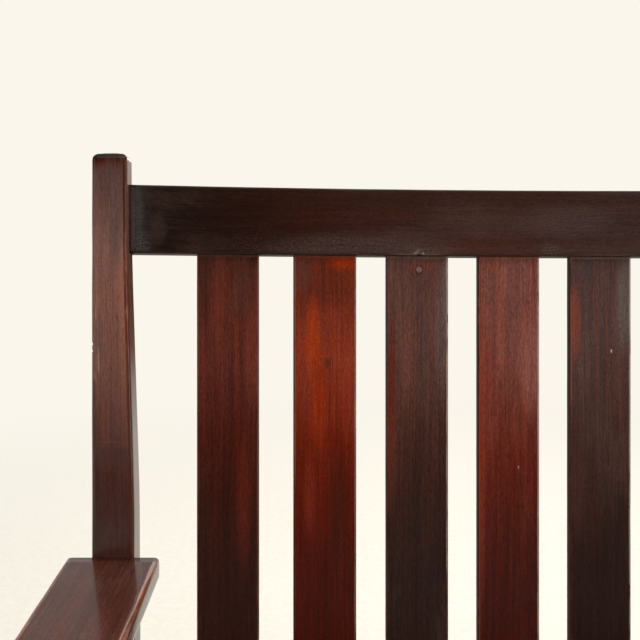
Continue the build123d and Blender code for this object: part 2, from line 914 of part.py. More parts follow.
write_part("seat_cushion", seat_cushion())
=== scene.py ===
import math

import bmesh
import bpy
from mathutils import Matrix, Vector, noise
from mathutils.bvhtree import BVHTree


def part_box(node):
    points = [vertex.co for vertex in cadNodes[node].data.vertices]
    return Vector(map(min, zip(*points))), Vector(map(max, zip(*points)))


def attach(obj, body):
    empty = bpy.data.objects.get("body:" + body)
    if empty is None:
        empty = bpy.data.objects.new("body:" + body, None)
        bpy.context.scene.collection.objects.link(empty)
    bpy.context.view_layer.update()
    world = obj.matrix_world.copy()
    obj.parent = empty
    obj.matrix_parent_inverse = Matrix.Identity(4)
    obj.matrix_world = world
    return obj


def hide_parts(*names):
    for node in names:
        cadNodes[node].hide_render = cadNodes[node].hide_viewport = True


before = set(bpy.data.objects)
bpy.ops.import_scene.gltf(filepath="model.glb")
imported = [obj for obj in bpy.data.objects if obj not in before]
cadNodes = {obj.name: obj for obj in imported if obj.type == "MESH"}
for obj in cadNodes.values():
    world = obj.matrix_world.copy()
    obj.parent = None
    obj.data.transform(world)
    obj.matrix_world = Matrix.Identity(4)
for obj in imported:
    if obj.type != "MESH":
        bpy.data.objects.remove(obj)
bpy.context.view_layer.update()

scene = bpy.context.scene
scene.view_settings.view_transform = "Standard"

# The stance of the back: it leans from a knee in the posts and bows away from the sitter
stance = {
    "leanDegrees": 10.4,
    "kneeHeight": 0.420,
    "kneeRadius": 0.200,
    "bowRadius": 3.820,  # front face of both rails
    "railSetback": 0.011,  # rail ends behind the post's front face
    "railThickness": 0.024,
}

mm = 0.001
lean = math.radians(stance["leanDegrees"])
kneeHeight = stance["kneeHeight"]
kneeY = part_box("back_seat_rail")[0].y
backOrigin = Vector((0, kneeY, kneeHeight))
acrossDir = Vector((1, 0, 0))
awayDir = Vector((0, math.cos(lean), -math.sin(lean)))
slopeDir = Vector((0, math.sin(lean), math.cos(lean)))
upDir = Vector((0, 0, 1))
rearDir = Vector((0, 1, 0))


def backPoint(across, away, up):
    return backOrigin + acrossDir * across + awayDir * away + slopeDir * up


# Lowest and highest corner of a node in the back's own directions
def backBox(node):
    places = [vertex.co - backOrigin for vertex in cadNodes[node].data.vertices]
    turned = [(place.x, place.dot(awayDir), place.dot(slopeDir)) for place in places]
    low = Vector([min(place[i] for place in turned) for i in range(3)])
    high = Vector([max(place[i] for place in turned) for i in range(3)])
    return low, high


# Shader writing: a Wire is one socket, and sums on it add Math nodes
class Wire:
    def __init__(self, shader, socket):
        self.shader = shader
        self.socket = socket

    def sum(self, operation, *values):
        return self.shader.node("ShaderNodeMath", {"operation": operation}, dict(enumerate(values)))

    def __add__(self, other):
        return self.sum("ADD", self, other)

    def __radd__(self, other):
        return self.sum("ADD", other, self)

    def __sub__(self, other):
        return self.sum("SUBTRACT", self, other)

    def __rsub__(self, other):
        return self.sum("SUBTRACT", other, self)

    def __mul__(self, other):
        return self.sum("MULTIPLY", self, other)

    def __rmul__(self, other):
        return self.sum("MULTIPLY", other, self)

    def limited(self):
        return self.shader.node("ShaderNodeMath", {"operation": "ADD", "use_clamp": True}, {0: self, 1: 0.0})


class Shader:
    def __init__(self, name=None, tree=None):
        if name:
            self.material = bpy.data.materials.new(name)
            self.material.use_nodes = True
            tree = self.material.node_tree
            self.surface = tree.nodes["Principled BSDF"]
        self.tree = tree

    def node(self, kind, settings=None, values=None, out=0):
        made = self.tree.nodes.new(kind)
        for key, value in (settings or {}).items():
            if key == "stops":
                self.setStops(made.color_ramp, value)
            else:
                setattr(made, key, value)
        for key, value in (values or {}).items():
            self.feed(made.inputs[key], value)
        return Wire(self, made.outputs[out])

    def feed(self, socket, value):
        if isinstance(value, Wire):
            self.tree.links.new(value.socket, socket)
        else:
            socket.default_value = value

    def setStops(self, ramp, stops):
        while len(ramp.elements) < len(stops):
            ramp.elements.new(0.5)
        for element, (place, colour) in zip(ramp.elements, stops):
            element.position = place
            element.color = colour

    def finish(self, **values):
        for key, value in values.items():
            self.feed(self.surface.inputs[socketNames[key]], value)
        return self.material

    def attribute(self, name, out):
        return self.node("ShaderNodeAttribute", {"attribute_name": name}, out=out)

    def stretched(self, vector, scale, shift=(0, 0, 0)):
        values = {0: vector, 1: scale, 2: shift}
        return self.node("ShaderNodeVectorMath", {"operation": "MULTIPLY_ADD"}, values)

    def length(self, vector):
        return self.node("ShaderNodeVectorMath", {"operation": "LENGTH"}, {0: vector}, out=1)

    def noise(self, vector, scale=1.0, detail=2.0, roughness=0.5, distortion=0.0):
        values = {"Vector": vector, "Scale": scale, "Detail": detail}
        values.update({"Roughness": roughness, "Distortion": distortion})
        return self.node("ShaderNodeTexNoise", None, values)

    def between(self, value, low, high, start=0.0, end=1.0):
        settings = {"interpolation_type": "SMOOTHSTEP", "clamp": True}
        return self.node("ShaderNodeMapRange", settings, {0: value, 1: low, 2: high, 3: start, 4: end})

    def blend(self, share, first, second, mode="MIX"):
        settings = {"data_type": "RGBA", "blend_type": mode, "clamp_factor": True}
        return self.node("ShaderNodeMix", settings, {0: share, 6: first, 7: second}, out=2)

    def parts(self, vector):
        split = self.node("ShaderNodeSeparateXYZ", None, {0: vector}).socket.node
        return [Wire(self, output) for output in split.outputs]

    def join(self, x, y, z):
        return self.node("ShaderNodeCombineXYZ", None, {0: x, 1: y, 2: z})

    def bump(self, height, distance, strength=1.0, under=None):
        values = {"Height": height, "Distance": distance, "Strength": strength}
        if under is not None:
            values["Normal"] = under
        return self.node("ShaderNodeBump", None, values)


socketNames = {
    "colour": "Base Color",
    "roughness": "Roughness",
    "metallic": "Metallic",
    "specular": "Specular IOR Level",
    "coat": "Coat Weight",
    "coatRoughness": "Coat Roughness",
    "sheen": "Sheen Weight",
    "sheenRoughness": "Sheen Roughness",
    "normal": "Normal",
    "emission": "Emission Color",
    "emissionStrength": "Emission Strength",
}


# A screen colour, 0 to 255, as the linear colour that a shader takes
def paint(red, green, blue):
    def linear(level):
        share = level / 255
        return share / 12.92 if share <= 0.04045 else ((share + 0.055) / 1.055) ** 2.4

    return (linear(red), linear(green), linear(blue), 1.0)


woodTints = {
    "dark": (0.62, 0.50, 0.52, 1.0),  # multiplies
    "bright": (1.38, 1.10, 0.92, 1.0),  # multiplies
    "cool": (0.88, 1.03, 1.16, 1.0),  # multiplies
    "warm": (1.13, 0.96, 0.82, 1.0),  # multiplies
    # a grey veil: painted sheen that stands for the reflection in the varnish
    "haze": paint(92, 74, 68),
    "rubbed": paint(112, 54, 38),
}


# Boards are swept section by section. Every vertex keeps its place in the board, across, deep and along,
# as the attribute "grain", and how near it lies to a rounded arris as the attribute "arris"
sweepValues = {
    "arcSteps": 3,
    "rim": 2.6 * mm,  # flat beside an arris that wears with it
    "faceStep": 9 * mm,
    "alongStep": 9 * mm,
    "leastStep": 0.12 * mm,  # sections nearer than this become one
    "endSteps": 4,  # sections in a rounded end, and on each side of a dent
    "waveHeight": 0.16 * mm,
    "waveScale": 14.0,
    "arrisWear": 0.3,  # how far an arris radius wanders
    "arrisScale": 26.0,
    "arrisLimit": 0.95,  # share of half a side that an arris may take
    "arrisEase": 0.3,  # how fast an arris tightens as the section draws in
    "rimLimit": 0.3,  # share of a face that its rim may take
    "cornerStep": 3.1,  # in the noise, from one corner to the next
    "seedSteps": (7.7, 3.3),  # in the noise, from one board to the next
    "capShares": (0.72, 0.35),
    "sideFlat": 0.6 * mm,  # a face that spans less across belongs to a side
}


class Board:
    def __init__(self, name, width, depth, seed):
        self.name = name
        self.seed = seed
        self.faceSpans = max(1, round((width - 4 * sweepValues["rim"]) / sweepValues["faceStep"]))
        self.sideSpans = max(1, round((depth - 4 * sweepValues["rim"]) / sweepValues["faceStep"]))
        self.points = []
        self.grain = []
        self.arris = []
        self.rings = []
        self.dents = []

    def wander(self, a, b, along, scale):
        step = sweepValues["cornerStep"]
        seedA, seedB = sweepValues["seedSteps"]
        place = (a * step + self.seed * seedA, b * step - self.seed * seedB, along * scale)
        return noise.noise(Vector(place))

    # One section; corners go round from the front's left, and deep is negative at the front
    def ring(self, place, across, deep, halfWide, halfDeep, radius, along, trim=None):
        spots = []
        corners = ((-1, -1), (1, -1), (1, 1), (-1, 1))
        for index, (sideA, sideD) in enumerate(corners):
            wear = 1 + sweepValues["arrisWear"] * self.wander(sideA, sideD, along, sweepValues["arrisScale"])
            limit = sweepValues["arrisLimit"]
            bend = min(radius * wear, halfWide * limit, halfDeep * limit)
            centreA = sideA * (halfWide - bend)
            centreD = sideD * (halfDeep - bend)
            for step in range(sweepValues["arcSteps"] + 1):
                turn = math.pi * (1 + index / 2 + step / sweepValues["arcSteps"] / 2)
                spots.append((centreA + bend * math.cos(turn), centreD + bend * math.sin(turn), 1.0))
            nextA, nextD = corners[(index + 1) % 4]
            lastA, lastD = spots[-1][0], spots[-1][1]
            if index % 2 == 0:
                endA, endD = nextA * (halfWide - bend), lastD
                spans = self.faceSpans
            else:
                endA, endD = lastA, nextD * (halfDeep - bend)
                spans = self.sideSpans
            run = math.hypot(endA - lastA, endD - lastD)
            rimShare = min(sweepValues["rimLimit"], sweepValues["rim"] / max(run, 1e-6))
            for step in range(spans + 1):
                share = rimShare + (1 - rimShare - rimShare) * step / spans
                spots.append((lastA + (endA - lastA) * share, lastD + (endD - lastD) * share, 0.0))
        first = len(self.points)
        for a, d, arris in spots:
            spot = Vector((a, d, along))
            wave = noise.noise(spot * sweepValues["waveScale"] + Vector((self.seed, 0, 0)))
            lift = sweepValues["waveHeight"] * wave * (1 - arris)
            if abs(abs(d) - halfDeep) < 1e-5:
                d += math.copysign(lift, d)
            elif abs(abs(a) - halfWide) < 1e-5:
                a += math.copysign(lift, a)
            shift = Vector((a, d, 0))
            for dent in self.dents:
                shift += dent.push(spot)
            point = place + across * shift.x + deep * shift.y + across.cross(deep) * shift.z
            self.points.append(trim(point) if trim else point)
            self.grain.append(spot)
            self.arris.append(arris)
        self.rings.append(list(range(first, first + len(spots))))

    # Closes an end with two smaller rings and a middle vertex
    def cap(self, ring, bulge, outward):
        middle = sum((self.points[i] for i in ring), Vector()) / len(ring)
        grainMiddle = sum((self.grain[i] for i in ring), Vector()) / len(ring)
        loops = [ring]
        for share in sweepValues["capShares"]:
            loop = []
            for i in ring:
                lift = outward * bulge * (1 - share * share)
                self.points.append(middle + (self.points[i] - middle) * share + lift)
                self.grain.append(grainMiddle + (self.grain[i] - grainMiddle) * share)
                self.arris.append(0.0)
                loop.append(len(self.points) - 1)
            loops.append(loop)
        self.points.append(middle + outward * bulge)
        self.grain.append(grainMiddle)
        self.arris.append(0.0)
        return loops, len(self.points) - 1

    def build(self, look, sideLook=None, bulges=(0.0, 0.0)):
        length = self.grain[self.rings[-1][0]].z
        faceMaterial = woodFinish(self.name, look, length)
        sideMaterial = woodFinish(self.name + "Side", sideLook, length) if sideLook else faceMaterial
        faces = []
        count = len(self.rings[0])
        for low, high in zip(self.rings, self.rings[1:]):
            for i in range(count):
                j = (i + 1) % count
                faces.append((low[i], low[j], high[j], high[i]))
        for end, bulge in ((0, bulges[0]), (-1, bulges[1])):
            near = self.rings[end]
            inner = self.rings[1 if end == 0 else -2]
            middle = sum((self.points[i] for i in near), Vector()) / count
            inside = sum((self.points[i] for i in inner), Vector()) / count
            loops, centre = self.cap(near, bulge, (middle - inside).normalized())
            for outer, inward in zip(loops, loops[1:]):
                for i in range(count):
                    j = (i + 1) % count
                    faces.append((outer[i], outer[j], inward[j], inward[i]))
            for i in range(count):
                faces.append((loops[-1][i], loops[-1][(i + 1) % count], centre))
        materials = (faceMaterial, sideMaterial) if sideLook else (faceMaterial,)
        obj = pieceOf(self.name, self.points, faces, materials, self.grain, self.arris)
        for polygon in obj.data.polygons if sideLook else ():
            spots = [self.grain[i].x for i in polygon.vertices]
            polygon.material_index = 1 if max(spots) - min(spots) < sweepValues["sideFlat"] else 0
        return obj


# A mesh as an object, its faces turned outwards; grain and arris go along as attributes for the shaders
def pieceOf(name, points, faces, materials, grain, arris=None):
    mesh = bpy.data.meshes.new(name)
    mesh.from_pydata([tuple(point) for point in points], [], faces)
    places = [value for spot in grain for value in spot]
    mesh.attributes.new("grain", "FLOAT_VECTOR", "POINT").data.foreach_set("vector", places)
    if arris:
        mesh.attributes.new("arris", "FLOAT", "POINT").data.foreach_set("value", arris)
    work = bmesh.new()
    work.from_mesh(mesh)
    bmesh.ops.recalc_face_normals(work, faces=work.faces)
    work.to_mesh(mesh)
    work.free()
    mesh.shade_smooth()
    for material in materials:
        mesh.materials.append(material)
    obj = bpy.data.objects.new(name, mesh)
    scene.collection.objects.link(obj)
    return obj


# Hands a finished piece to the frame in place of its CAD node
def dress(piece, node, body="settle_frame"):
    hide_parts(node)
    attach(piece, body)


# A worn spot, in mm: vertices within reach of the place are pushed, most at its middle
class Dent:
    def __init__(self, *triples):
        self.place, self.reach, self.shift = (Vector([value * mm for value in triple]) for triple in triples)

    def push(self, spot):
        gap = spot - self.place
        far = sum((gap[i] / self.reach[i]) ** 2 for i in range(3))
        return self.shift * (1 - far) ** 2 if far < 1 else Vector()


# How much a section draws in near a rounded end, from its distance to that end
def endInset(distance, radius):
    if radius <= 0 or distance >= radius:
        return 0.0
    return radius - math.sqrt(max(0.0, radius * radius - (radius - distance) ** 2))


def easedArris(arris, inset, least):
    return max(arris - inset * sweepValues["arrisEase"], least)


# Places along a board: an even step, closer near round ends and dents
def alongPlaces(length, endRadii=(0.0, 0.0), dents=()):
    steps = sweepValues["endSteps"]
    count = max(2, round(length / sweepValues["alongStep"]))
    places = {length * i / count for i in range(count + 1)}
    for radius, start, sign in ((endRadii[0], 0.0, 1), (endRadii[1], length, -1)):
        if radius > 0:
            places = {place for place in places if abs(place - start) >= radius or place == start}
            for k in range(1, steps + 1):
                places.add(start + sign * radius * (1 - math.cos(math.pi * k / steps / 2)))
    for dent in dents:
        for k in range(-steps, steps + 1):
            places.add(min(length, max(0.0, dent.place.z + dent.reach.z * k / steps)))
    kept = []
    for place in sorted(places):
        if not kept or place - kept[-1] > sweepValues["leastStep"]:
            kept.append(place)
    return kept


# What a wood look holds when nothing else is said
usualLook = {
    "seed": 0.0,
    "wander": 0.010,  # how far the grain swings across a board
    "darkness": 0.6,  # of the dark figure
    "glow": 0.6,  # of the bright figure
    "hues": 0.75,  # of cool and warm streaks
    # share of painted sheen: grey veils that stand for the reflection in the varnish
    "haze": 0.18,
    "streak": 0.17,
    "fleck": 0.22,
    "rub": 0.4,
    "rubbed": woodTints["rubbed"],
    "roughness": 0.27,
    "coat": 0.3,
    "specular": 0.10,
    "patches": (),
    "lines": (),
    "dents": (),
}

# Patterns in the wood: how often each changes across, deep and along a metre, then detail and roughness
woodPatterns = {
    "wander": ((6, 6, 3.2), 2, 0.5),
    "ribbon": ((78, 44, 2.6), 3, 0.55),
    "streak": ((420, 300, 7.0), 4, 0.65),
    "hair": ((1250, 900, 26.0), 2, 0.6),
    "pore": ((1500, 1100, 95.0), 1, 0.5),
    "cloud": ((16, 16, 7.5), 3, 0.55),
    "scuff": ((190, 190, 40), 4, 0.7),
    "speckle": ((620, 620, 620), 3, 0.75),
    "fleck": ((900, 800, 260), 2, 0.6),
    "hue": ((260, 200, 5.0), 3, 0.6),
    "orange": ((160, 160, 70), 2, 0.5),  # the varnish's skin
}


# A look in short: tones as (place along, colour), patches as (across, along, half width, half length, colour,
# strength, and how speckled), lines along an arris as (side, from, to, colour, strength), the pale ones
# painted highlights, a coat as (place along, weight).
# Places are in mm and colours are screen colours
def lookOf(*tones, coat=usualLook["coat"], patches=(), lines=(), **changes):
    if len(tones) == 1:
        tones = ((0, tones[0]),)
    look = dict(usualLook, **changes)
    look["tones"] = [(place * mm, paint(*colour)) for place, colour in tones]
    look["coat"] = coatOf(coat)
    look["patches"] = [patchOf(*patch) for patch in patches]
    look["lines"] = [(side, low * mm, high * mm, paint(*colour), strength)
                     for side, low, high, colour, strength in lines]
    return look


def coatOf(coat):
    return [(place * mm, weight) for place, weight in coat] if isinstance(coat, list) else coat


def patchOf(across, along, halfWide, halfLong, colour, strength, speckled=None):
    return (across * mm, along * mm), (halfWide * mm, halfLong * mm), paint(*colour), strength, speckled


# Aged varnish over mahogany stain: tones change along a board, and figure, patches, grain and wear lie
# over them; the tones, patches and edge lines also carry painted light, shade and sheen
def woodFinish(name, look, length=1.0, place=None):
    shade = Shader(name)
    seed = look["seed"]
    grain = place(shade) if place else shade.attribute("grain", 1)
    across, deep, along = shade.parts(grain)
    shift = (seed * 1.37, seed * 0.71, seed * 2.93)

    def pattern(kind, vector):
        scale, detail, roughness = woodPatterns[kind]
        return shade.noise(shade.stretched(vector, scale, shift), detail=detail, roughness=roughness)

    wander = pattern("wander", grain)
    bent = shade.join(across + (wander - 0.5) * look["wander"], deep, along)
    ribbon, streak, hair, pore = (pattern(kind, bent) for kind in ("ribbon", "streak", "hair", "pore"))
    cloud, scuff, speckle = (pattern(kind, grain) for kind in ("cloud", "scuff", "speckle"))
    fleck = pattern("fleck", bent)
    tones = look["tones"]
    if len(tones) > 1:
        stops = [(min(1.0, spot / length), tone) for spot, tone in tones]
        share = (along + (cloud - 0.5) * 0.04 + (streak - 0.5) * 0.03) * (1 / length)
        colour = shade.node("ShaderNodeValToRGB", {"stops": stops}, {"Fac": share})
    else:
        colour = tones[0][1]
    figure = ribbon * 0.55 + streak * 0.3 + cloud * 0.15
    dark = shade.between(figure, 0.52, 0.36) * look["darkness"]
    colour = shade.blend(dark, colour, woodTints["dark"], "MULTIPLY")
    bright = shade.between(figure, 0.49, 0.63) * look["glow"]
    colour = shade.blend(bright, colour, woodTints["bright"], "MULTIPLY")
    hue = shade.between(pattern("hue", bent) + (fleck - 0.5) * 0.3, 0.36, 0.64)
    hues = shade.blend(hue, woodTints["cool"], woodTints["warm"])
    colour = shade.blend(look["hues"], colour, hues, "MULTIPLY")
    # Painted sheen: cloudy grey veils that stand for the reflection in the varnish
    haze = shade.between(cloud * 0.7 + scuff * 0.3, 0.5, 0.66) * look["haze"]
    colour = shade.blend(haze, colour, woodTints["haze"])
    flat = shade.join(across, 0.0, along)
    for centre, reach, patchColour, strength, speckled in look["patches"]:
        scale = (1 / reach[0], 0.0, 1 / reach[1])
        offset = (-centre[0] / reach[0], 0.0, -centre[1] / reach[1])
        away = shade.length(shade.stretched(flat, scale, offset))
        ragged = away + (ribbon - 0.5) * 0.5 + (streak - 0.5) * 0.6
        mask = shade.between(ragged, 1.15, 0.35) * strength
        if speckled is not None:
            mask = mask * shade.between(speckle, 0.48, 0.60, 1 - speckled, 1.0)
        colour = shade.blend(mask, colour, patchColour)
    swing, short = look["streak"], look["fleck"]
    dim = shade.between(streak, 0.28, 0.72, 1 - swing, 1 + swing) * shade.between(hair, 0.3, 0.7, 0.91, 1.09)
    dim = dim * shade.between(pore, 0.33, 0.42, 0.75, 1.0) * shade.between(speckle, 0.35, 0.65, 0.91, 1.09)
    dim = dim * shade.between(fleck, 0.3, 0.7, 1 - short, 1 + short)
    colour = shade.blend(1.0, colour, shade.join(dim, dim, dim), "MULTIPLY")
    if place is None:
        arris = shade.attribute("arris", 2)
        rubbed = shade.between(arris * 0.85 + (scuff - 0.5) * 1.3 + (cloud - 0.5) * 0.8, 0.5, 1.15)
        colour = shade.blend(rubbed * look["rub"], colour, look["rubbed"])
        # Lines along an arris: the pale ones are painted highlights where light catches the edge, the dark
        # ones darken it
        for side, low, high, lineColour, strength in look["lines"]:
            mask = shade.between(arris, 0.55, 0.95) * shade.between(across * side, 0.0, 1 * mm)
            mask = mask * shade.between(along, low - 12 * mm, low + 12 * mm)
            mask = mask * shade.between(along, high + 12 * mm, high - 12 * mm)
            mask = mask * shade.between(scuff * 0.6 + cloud * 0.4, 0.34, 0.5) * strength
            colour = shade.blend(mask, colour, lineColour)
    roughness = look["roughness"] + (cloud - 0.5) * 0.14 + (scuff - 0.5) * 0.14
    height = streak * 0.35 + hair * 0.25 + shade.between(pore, 0.3, 0.45) * 0.25
    normal = shade.bump(pattern("orange", grain), 0.16 * mm, 0.5, shade.bump(height, 0.09 * mm, 0.8))
    coat = look["coat"]
    if isinstance(coat, list):
        stops = [(spot / length, (weight, weight, weight, 1.0)) for spot, weight in coat]
        coat = shade.node("ShaderNodeValToRGB", {"stops": stops}, {"Fac": along * (1 / length)})
    return shade.finish(
        colour=colour, roughness=roughness.limited(), normal=normal,
        specular=look["specular"], coat=coat, coatRoughness=0.10,
    )


# Warm light from both sides, dim in front so that the varnish stays dark
stagePlan = {
    "floorHalf": 40.0,
    "floorColour": paint(243, 239, 229),
    "floorSpeckle": paint(238, 233, 222),
    "seenSky": paint(250, 246, 235),
    "fadeStart": 1.1,  # where the floor begins to turn into the sky
    "fadeEnd": 3.6,
    "litHigh": (0.62, 0.61, 0.59, 1.0),
    "litBehind": (0.66, 0.65, 0.62, 1.0),
    "litFront": (0.03, 0.03, 0.03, 1.0),
}


def makeFloor():
    half = stagePlan["floorHalf"]
    mesh = bpy.data.meshes.new("floor")
    corners = [(-half, -half, 0), (half, -half, 0), (half, half, 0), (-half, half, 0)]
    mesh.from_pydata(corners, [], [(0, 1, 2, 3)])
    floor = bpy.data.objects.new("floor", mesh)
    scene.collection.objects.link(floor)
    shade = Shader("palePlaster")
    place = shade.node("ShaderNodeTexCoord", out=3)
    mottle = shade.noise(place, 60.0, 4, 0.6)
    speckled = shade.between(mottle, 0.35, 0.7)
    colour = shade.blend(speckled, stagePlan["floorColour"], stagePlan["floorSpeckle"])
    fade = shade.between(shade.length(place), stagePlan["fadeStart"], stagePlan["fadeEnd"])
    black = (0.0, 0.0, 0.0, 1.0)
    glow = shade.blend(fade, black, stagePlan["seenSky"])
    mesh.materials.append(shade.finish(colour=shade.blend(fade, colour, black), roughness=0.85, specular=0.0,
                                       emission=glow, emissionStrength=1.0))


def makeWorld():
    world = bpy.data.worlds.new("studio")
    world.use_nodes = True
    scene.world = world
    sky = Shader(tree=world.node_tree)
    heading = sky.node("ShaderNodeTexCoord", out=0)
    x, y, z = sky.parts(heading)
    rear = sky.between(y, -0.35, 0.75)
    lit = sky.blend(rear, stagePlan["litFront"], stagePlan["litBehind"])
    lit = sky.blend(sky.between(z, 0.42, 0.95), lit, stagePlan["litHigh"])
    seen = sky.node("ShaderNodeLightPath", out=0)
    background = world.node_tree.nodes["Background"]
    sky.feed(background.inputs["Color"], sky.blend(seen, lit, stagePlan["seenSky"]))


# Softboxes: name, place, aimed at, size along and up, power
lightPlan = (
    ("leftSoftbox", (-2.5, -1.5, 1.5), (-0.2, 0.2, 0.75), (1.0, 1.9), 22),
    ("rightSoftbox", (2.7, -1.3, 1.5), (0.0, 0.2, 0.7), (1.0, 1.9), 58),
    ("topSoftbox", (0.0, -0.5, 3.0), (0.0, 0.1, 0.4), (2.6, 1.8), 33),
    ("rearSoftbox", (0.6, 3.0, 1.9), (0.0, 0.2, 0.6), (2.6, 1.4), 24),
)

sunPlan = {
    "power": 0.72,
    "spread": 50,  # degrees
    "towards": (-0.25, 0.45, -1.0),
}


def addLamp(name, kind, power, colour, towards, place=(0, 0, 0)):
    data = bpy.data.lights.new(name, kind)
    data.energy = power
    data.color = colour
    lamp = bpy.data.objects.new(name, data)
    lamp.location = place
    lamp.rotation_euler = towards.to_track_quat("-Z", "Y").to_euler()
    scene.collection.objects.link(lamp)
    return data


def makeLights():
    for name, place, aim, size, power in lightPlan:
        data = addLamp(name, "AREA", power, (1.0, 0.975, 0.94), Vector(aim) - Vector(place), place)
        data.shape = "RECTANGLE"
        data.size, data.size_y = size
    sun = addLamp("softSun", "SUN", sunPlan["power"], (1.0, 0.98, 0.95), Vector(sunPlan["towards"]))
    sun.angle = math.radians(sunPlan["spread"])


# The photograph's view: square on to the leaning back, a 50 mm lens
cameraPlan = {
    "across": -0.3442,
    "before": -0.8851,
    "up": 0.42006,
    "lens": 50.0,
    "sensor": 36.0,
    "centreDrop": 20,  # pixels from the picture's middle down to the lens axis
    "picture": 640,
}


def makeCamera():
    data = bpy.data.cameras.new("camera")
    data.lens = cameraPlan["lens"]
    data.sensor_width = cameraPlan["sensor"]
    data.shift_y = cameraPlan["centreDrop"] / cameraPlan["picture"]
    camera = bpy.data.objects.new("camera", data)
    turn = Matrix((acrossDir, slopeDir, -awayDir)).transposed()
    spot = backPoint(cameraPlan["across"], cameraPlan["before"], cameraPlan["up"])
    camera.matrix_world = Matrix.Translation(spot) @ turn.to_4x4()
    scene.collection.objects.link(camera)
    scene.camera = camera


makeFloor()
makeWorld()
makeLights()
makeCamera()
print("stage ready")


# Back posts: upright to the knee, then leaning, thinner to the top and cut away inside
postPlan = {
    "width": 41.3 * mm,
    "topWidth": 34.3 * mm,
    "depth": 38 * mm,
    "topDepth": 27 * mm,
    "taperStart": 250 * mm,  # up the slope
    "arris": 3.2 * mm,
    "topRadius": 6.8 * mm,
    "topCrown": 1.6 * mm,
    "topRise": 1.0 * mm,
    "spread": 0.9 * mm,  # how far each post stands out at its side
    "footRadius": 2.5 * mm,
    "leastArris": 1.2 * mm,
    "taperEase": 0.35,  # 0 is a straight taper
}


# How far back and up a post has come at a distance from its foot, and its lean there
def postLine(distance, straight):
    radius = stance["kneeRadius"]
    bend = radius * lean
    if distance <= straight:
        return 0.0, distance, 0.0
    if distance <= straight + bend:
        turn = (distance - straight) / radius
        return radius * (1 - math.cos(turn)), straight + radius * math.sin(turn), turn
    rest = distance - straight - bend
    y = radius * (1 - math.cos(lean)) + rest * math.sin(lean)
    z = straight + radius * math.sin(lean) + rest * math.cos(lean)
    return y, z, lean


def taperShare(value, low, high):
    share = min(1.0, max(0.0, (value - low) / (high - low)))
    ease = postPlan["taperEase"]
    return share * share * (3 - 2 * share) * ease + share * (1 - ease)


def makeBackPost(side, label, look):
    node = "back_post_" + label
    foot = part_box(node)[0].z
    reach = backBox(node)[1].z
    tangent = stance["kneeRadius"] * math.tan(lean / 2)
    straight = kneeHeight - tangent - foot
    length = straight + stance["kneeRadius"] * lean + reach - tangent + postPlan["topRise"]
    board = Board("backPost" + label.title(), postPlan["width"], postPlan["depth"], 3.0 + side)
    board.dents = look["dents"]
    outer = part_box(node)[0 if side < 0 else 1].x
    taperEnd = backBox("back_slat_1")[1].z
    ends = (postPlan["footRadius"], postPlan["topRadius"])
    for distance in alongPlaces(length, ends, board.dents):
        y, z, turn = postLine(distance, straight)
        up = distance - straight - stance["kneeRadius"] * lean + tangent
        thin = min(1.0, max(0.0, up / reach))
        depth = postPlan["depth"] + (postPlan["topDepth"] - postPlan["depth"]) * thin
        cut = taperShare(up, postPlan["taperStart"], taperEnd)
        width = postPlan["width"] + (postPlan["topWidth"] - postPlan["width"]) * cut + postPlan["spread"]
        inset = endInset(distance, ends[0]) + endInset(length - distance, ends[1])
        deep = Vector((0, math.cos(turn), -math.sin(turn)))
        front = Vector((outer + side * (postPlan["spread"] - width / 2), kneeY + y, foot + z))
        board.ring(front + deep * depth / 2, acrossDir, deep, width / 2 - inset, depth / 2 - inset,
                   easedArris(postPlan["arris"], inset, postPlan["leastArris"]), distance)
    post = board.build(look, postSideLook, bulges=(0.0, postPlan["topCrown"]))
    dress(post, node)


# Places on a post's height, from its foot, for its looks
postLooks = {
    # On the left post, the grey patches are painted sheen and the pale line along its outer edge is a painted
    # highlight
    "left": lookOf(
        (500, (64, 38, 31)), (660, (56, 30, 25)), (705, (60, 33, 28)), (745, (76, 48, 42)),
        (790, (98, 66, 57)), (876, (112, 76, 66)), (925, (110, 78, 70)),
        (975, (86, 61, 55)), (1000, (78, 56, 51)), (1006, (75, 43, 35)), (1011, (60, 26, 16)),
        (1014.8, (27, 11, 6)),
        seed=4.0, streak=0.08, fleck=0.11, darkness=0.3, glow=0.3, haze=0.1, hues=0.45,
        roughness=0.3, rub=0.2, rubbed=paint(96, 48, 34),
        coat=[(0, 0.3), (700, 0.3), (800, 0.14), (980, 0.14), (1005, 0.02)],
        patches=[
            (7, 955, 9, 50, (82, 64, 58), 0.7), (10, 893, 6, 30, (124, 76, 62), 0.35),
            (-12, 838, 6, 30, (92, 70, 64), 0.6), (3, 734.4, 22, 1.4, (90, 64, 58), 0.22),
            (0, 721, 45, 12, (62, 42, 40), 0.55), (-17, 832, 2.2, 9, (150, 132, 122), 0.8, 1.0),
            (-12, 815, 1.2, 16, (140, 116, 106), 0.5), (-16, 800, 1.2, 6, (150, 112, 100), 0.5),
            (-14, 862, 1, 10, (146, 110, 98), 0.4),
        ],
        lines=[
            (1, 600, 800, (70, 30, 18), 0.8), (1, 800, 930, (80, 30, 15), 0.9),
            (1, 930, 1020, (58, 22, 12), 0.9), (-1, 800, 930, (90, 60, 50), 0.5),
            (-1, 600, 800, (46, 26, 20), 0.7),
        ],
        dents=[
            Dent((-19.5, -14, 832), (3, 6, 2.4), (0.7, 0.9, 0)),
            Dent((-19.5, -14, 825), (3, 6, 1.8), (0.6, 0.7, 0)),
        ],
    ),
    "right": lookOf(
        (400, (72, 42, 33)), (700, (78, 47, 38)), (900, (98, 62, 51)), (1000, (80, 44, 32)),
        seed=9.0, rub=0.5, roughness=0.3,
    ),
}

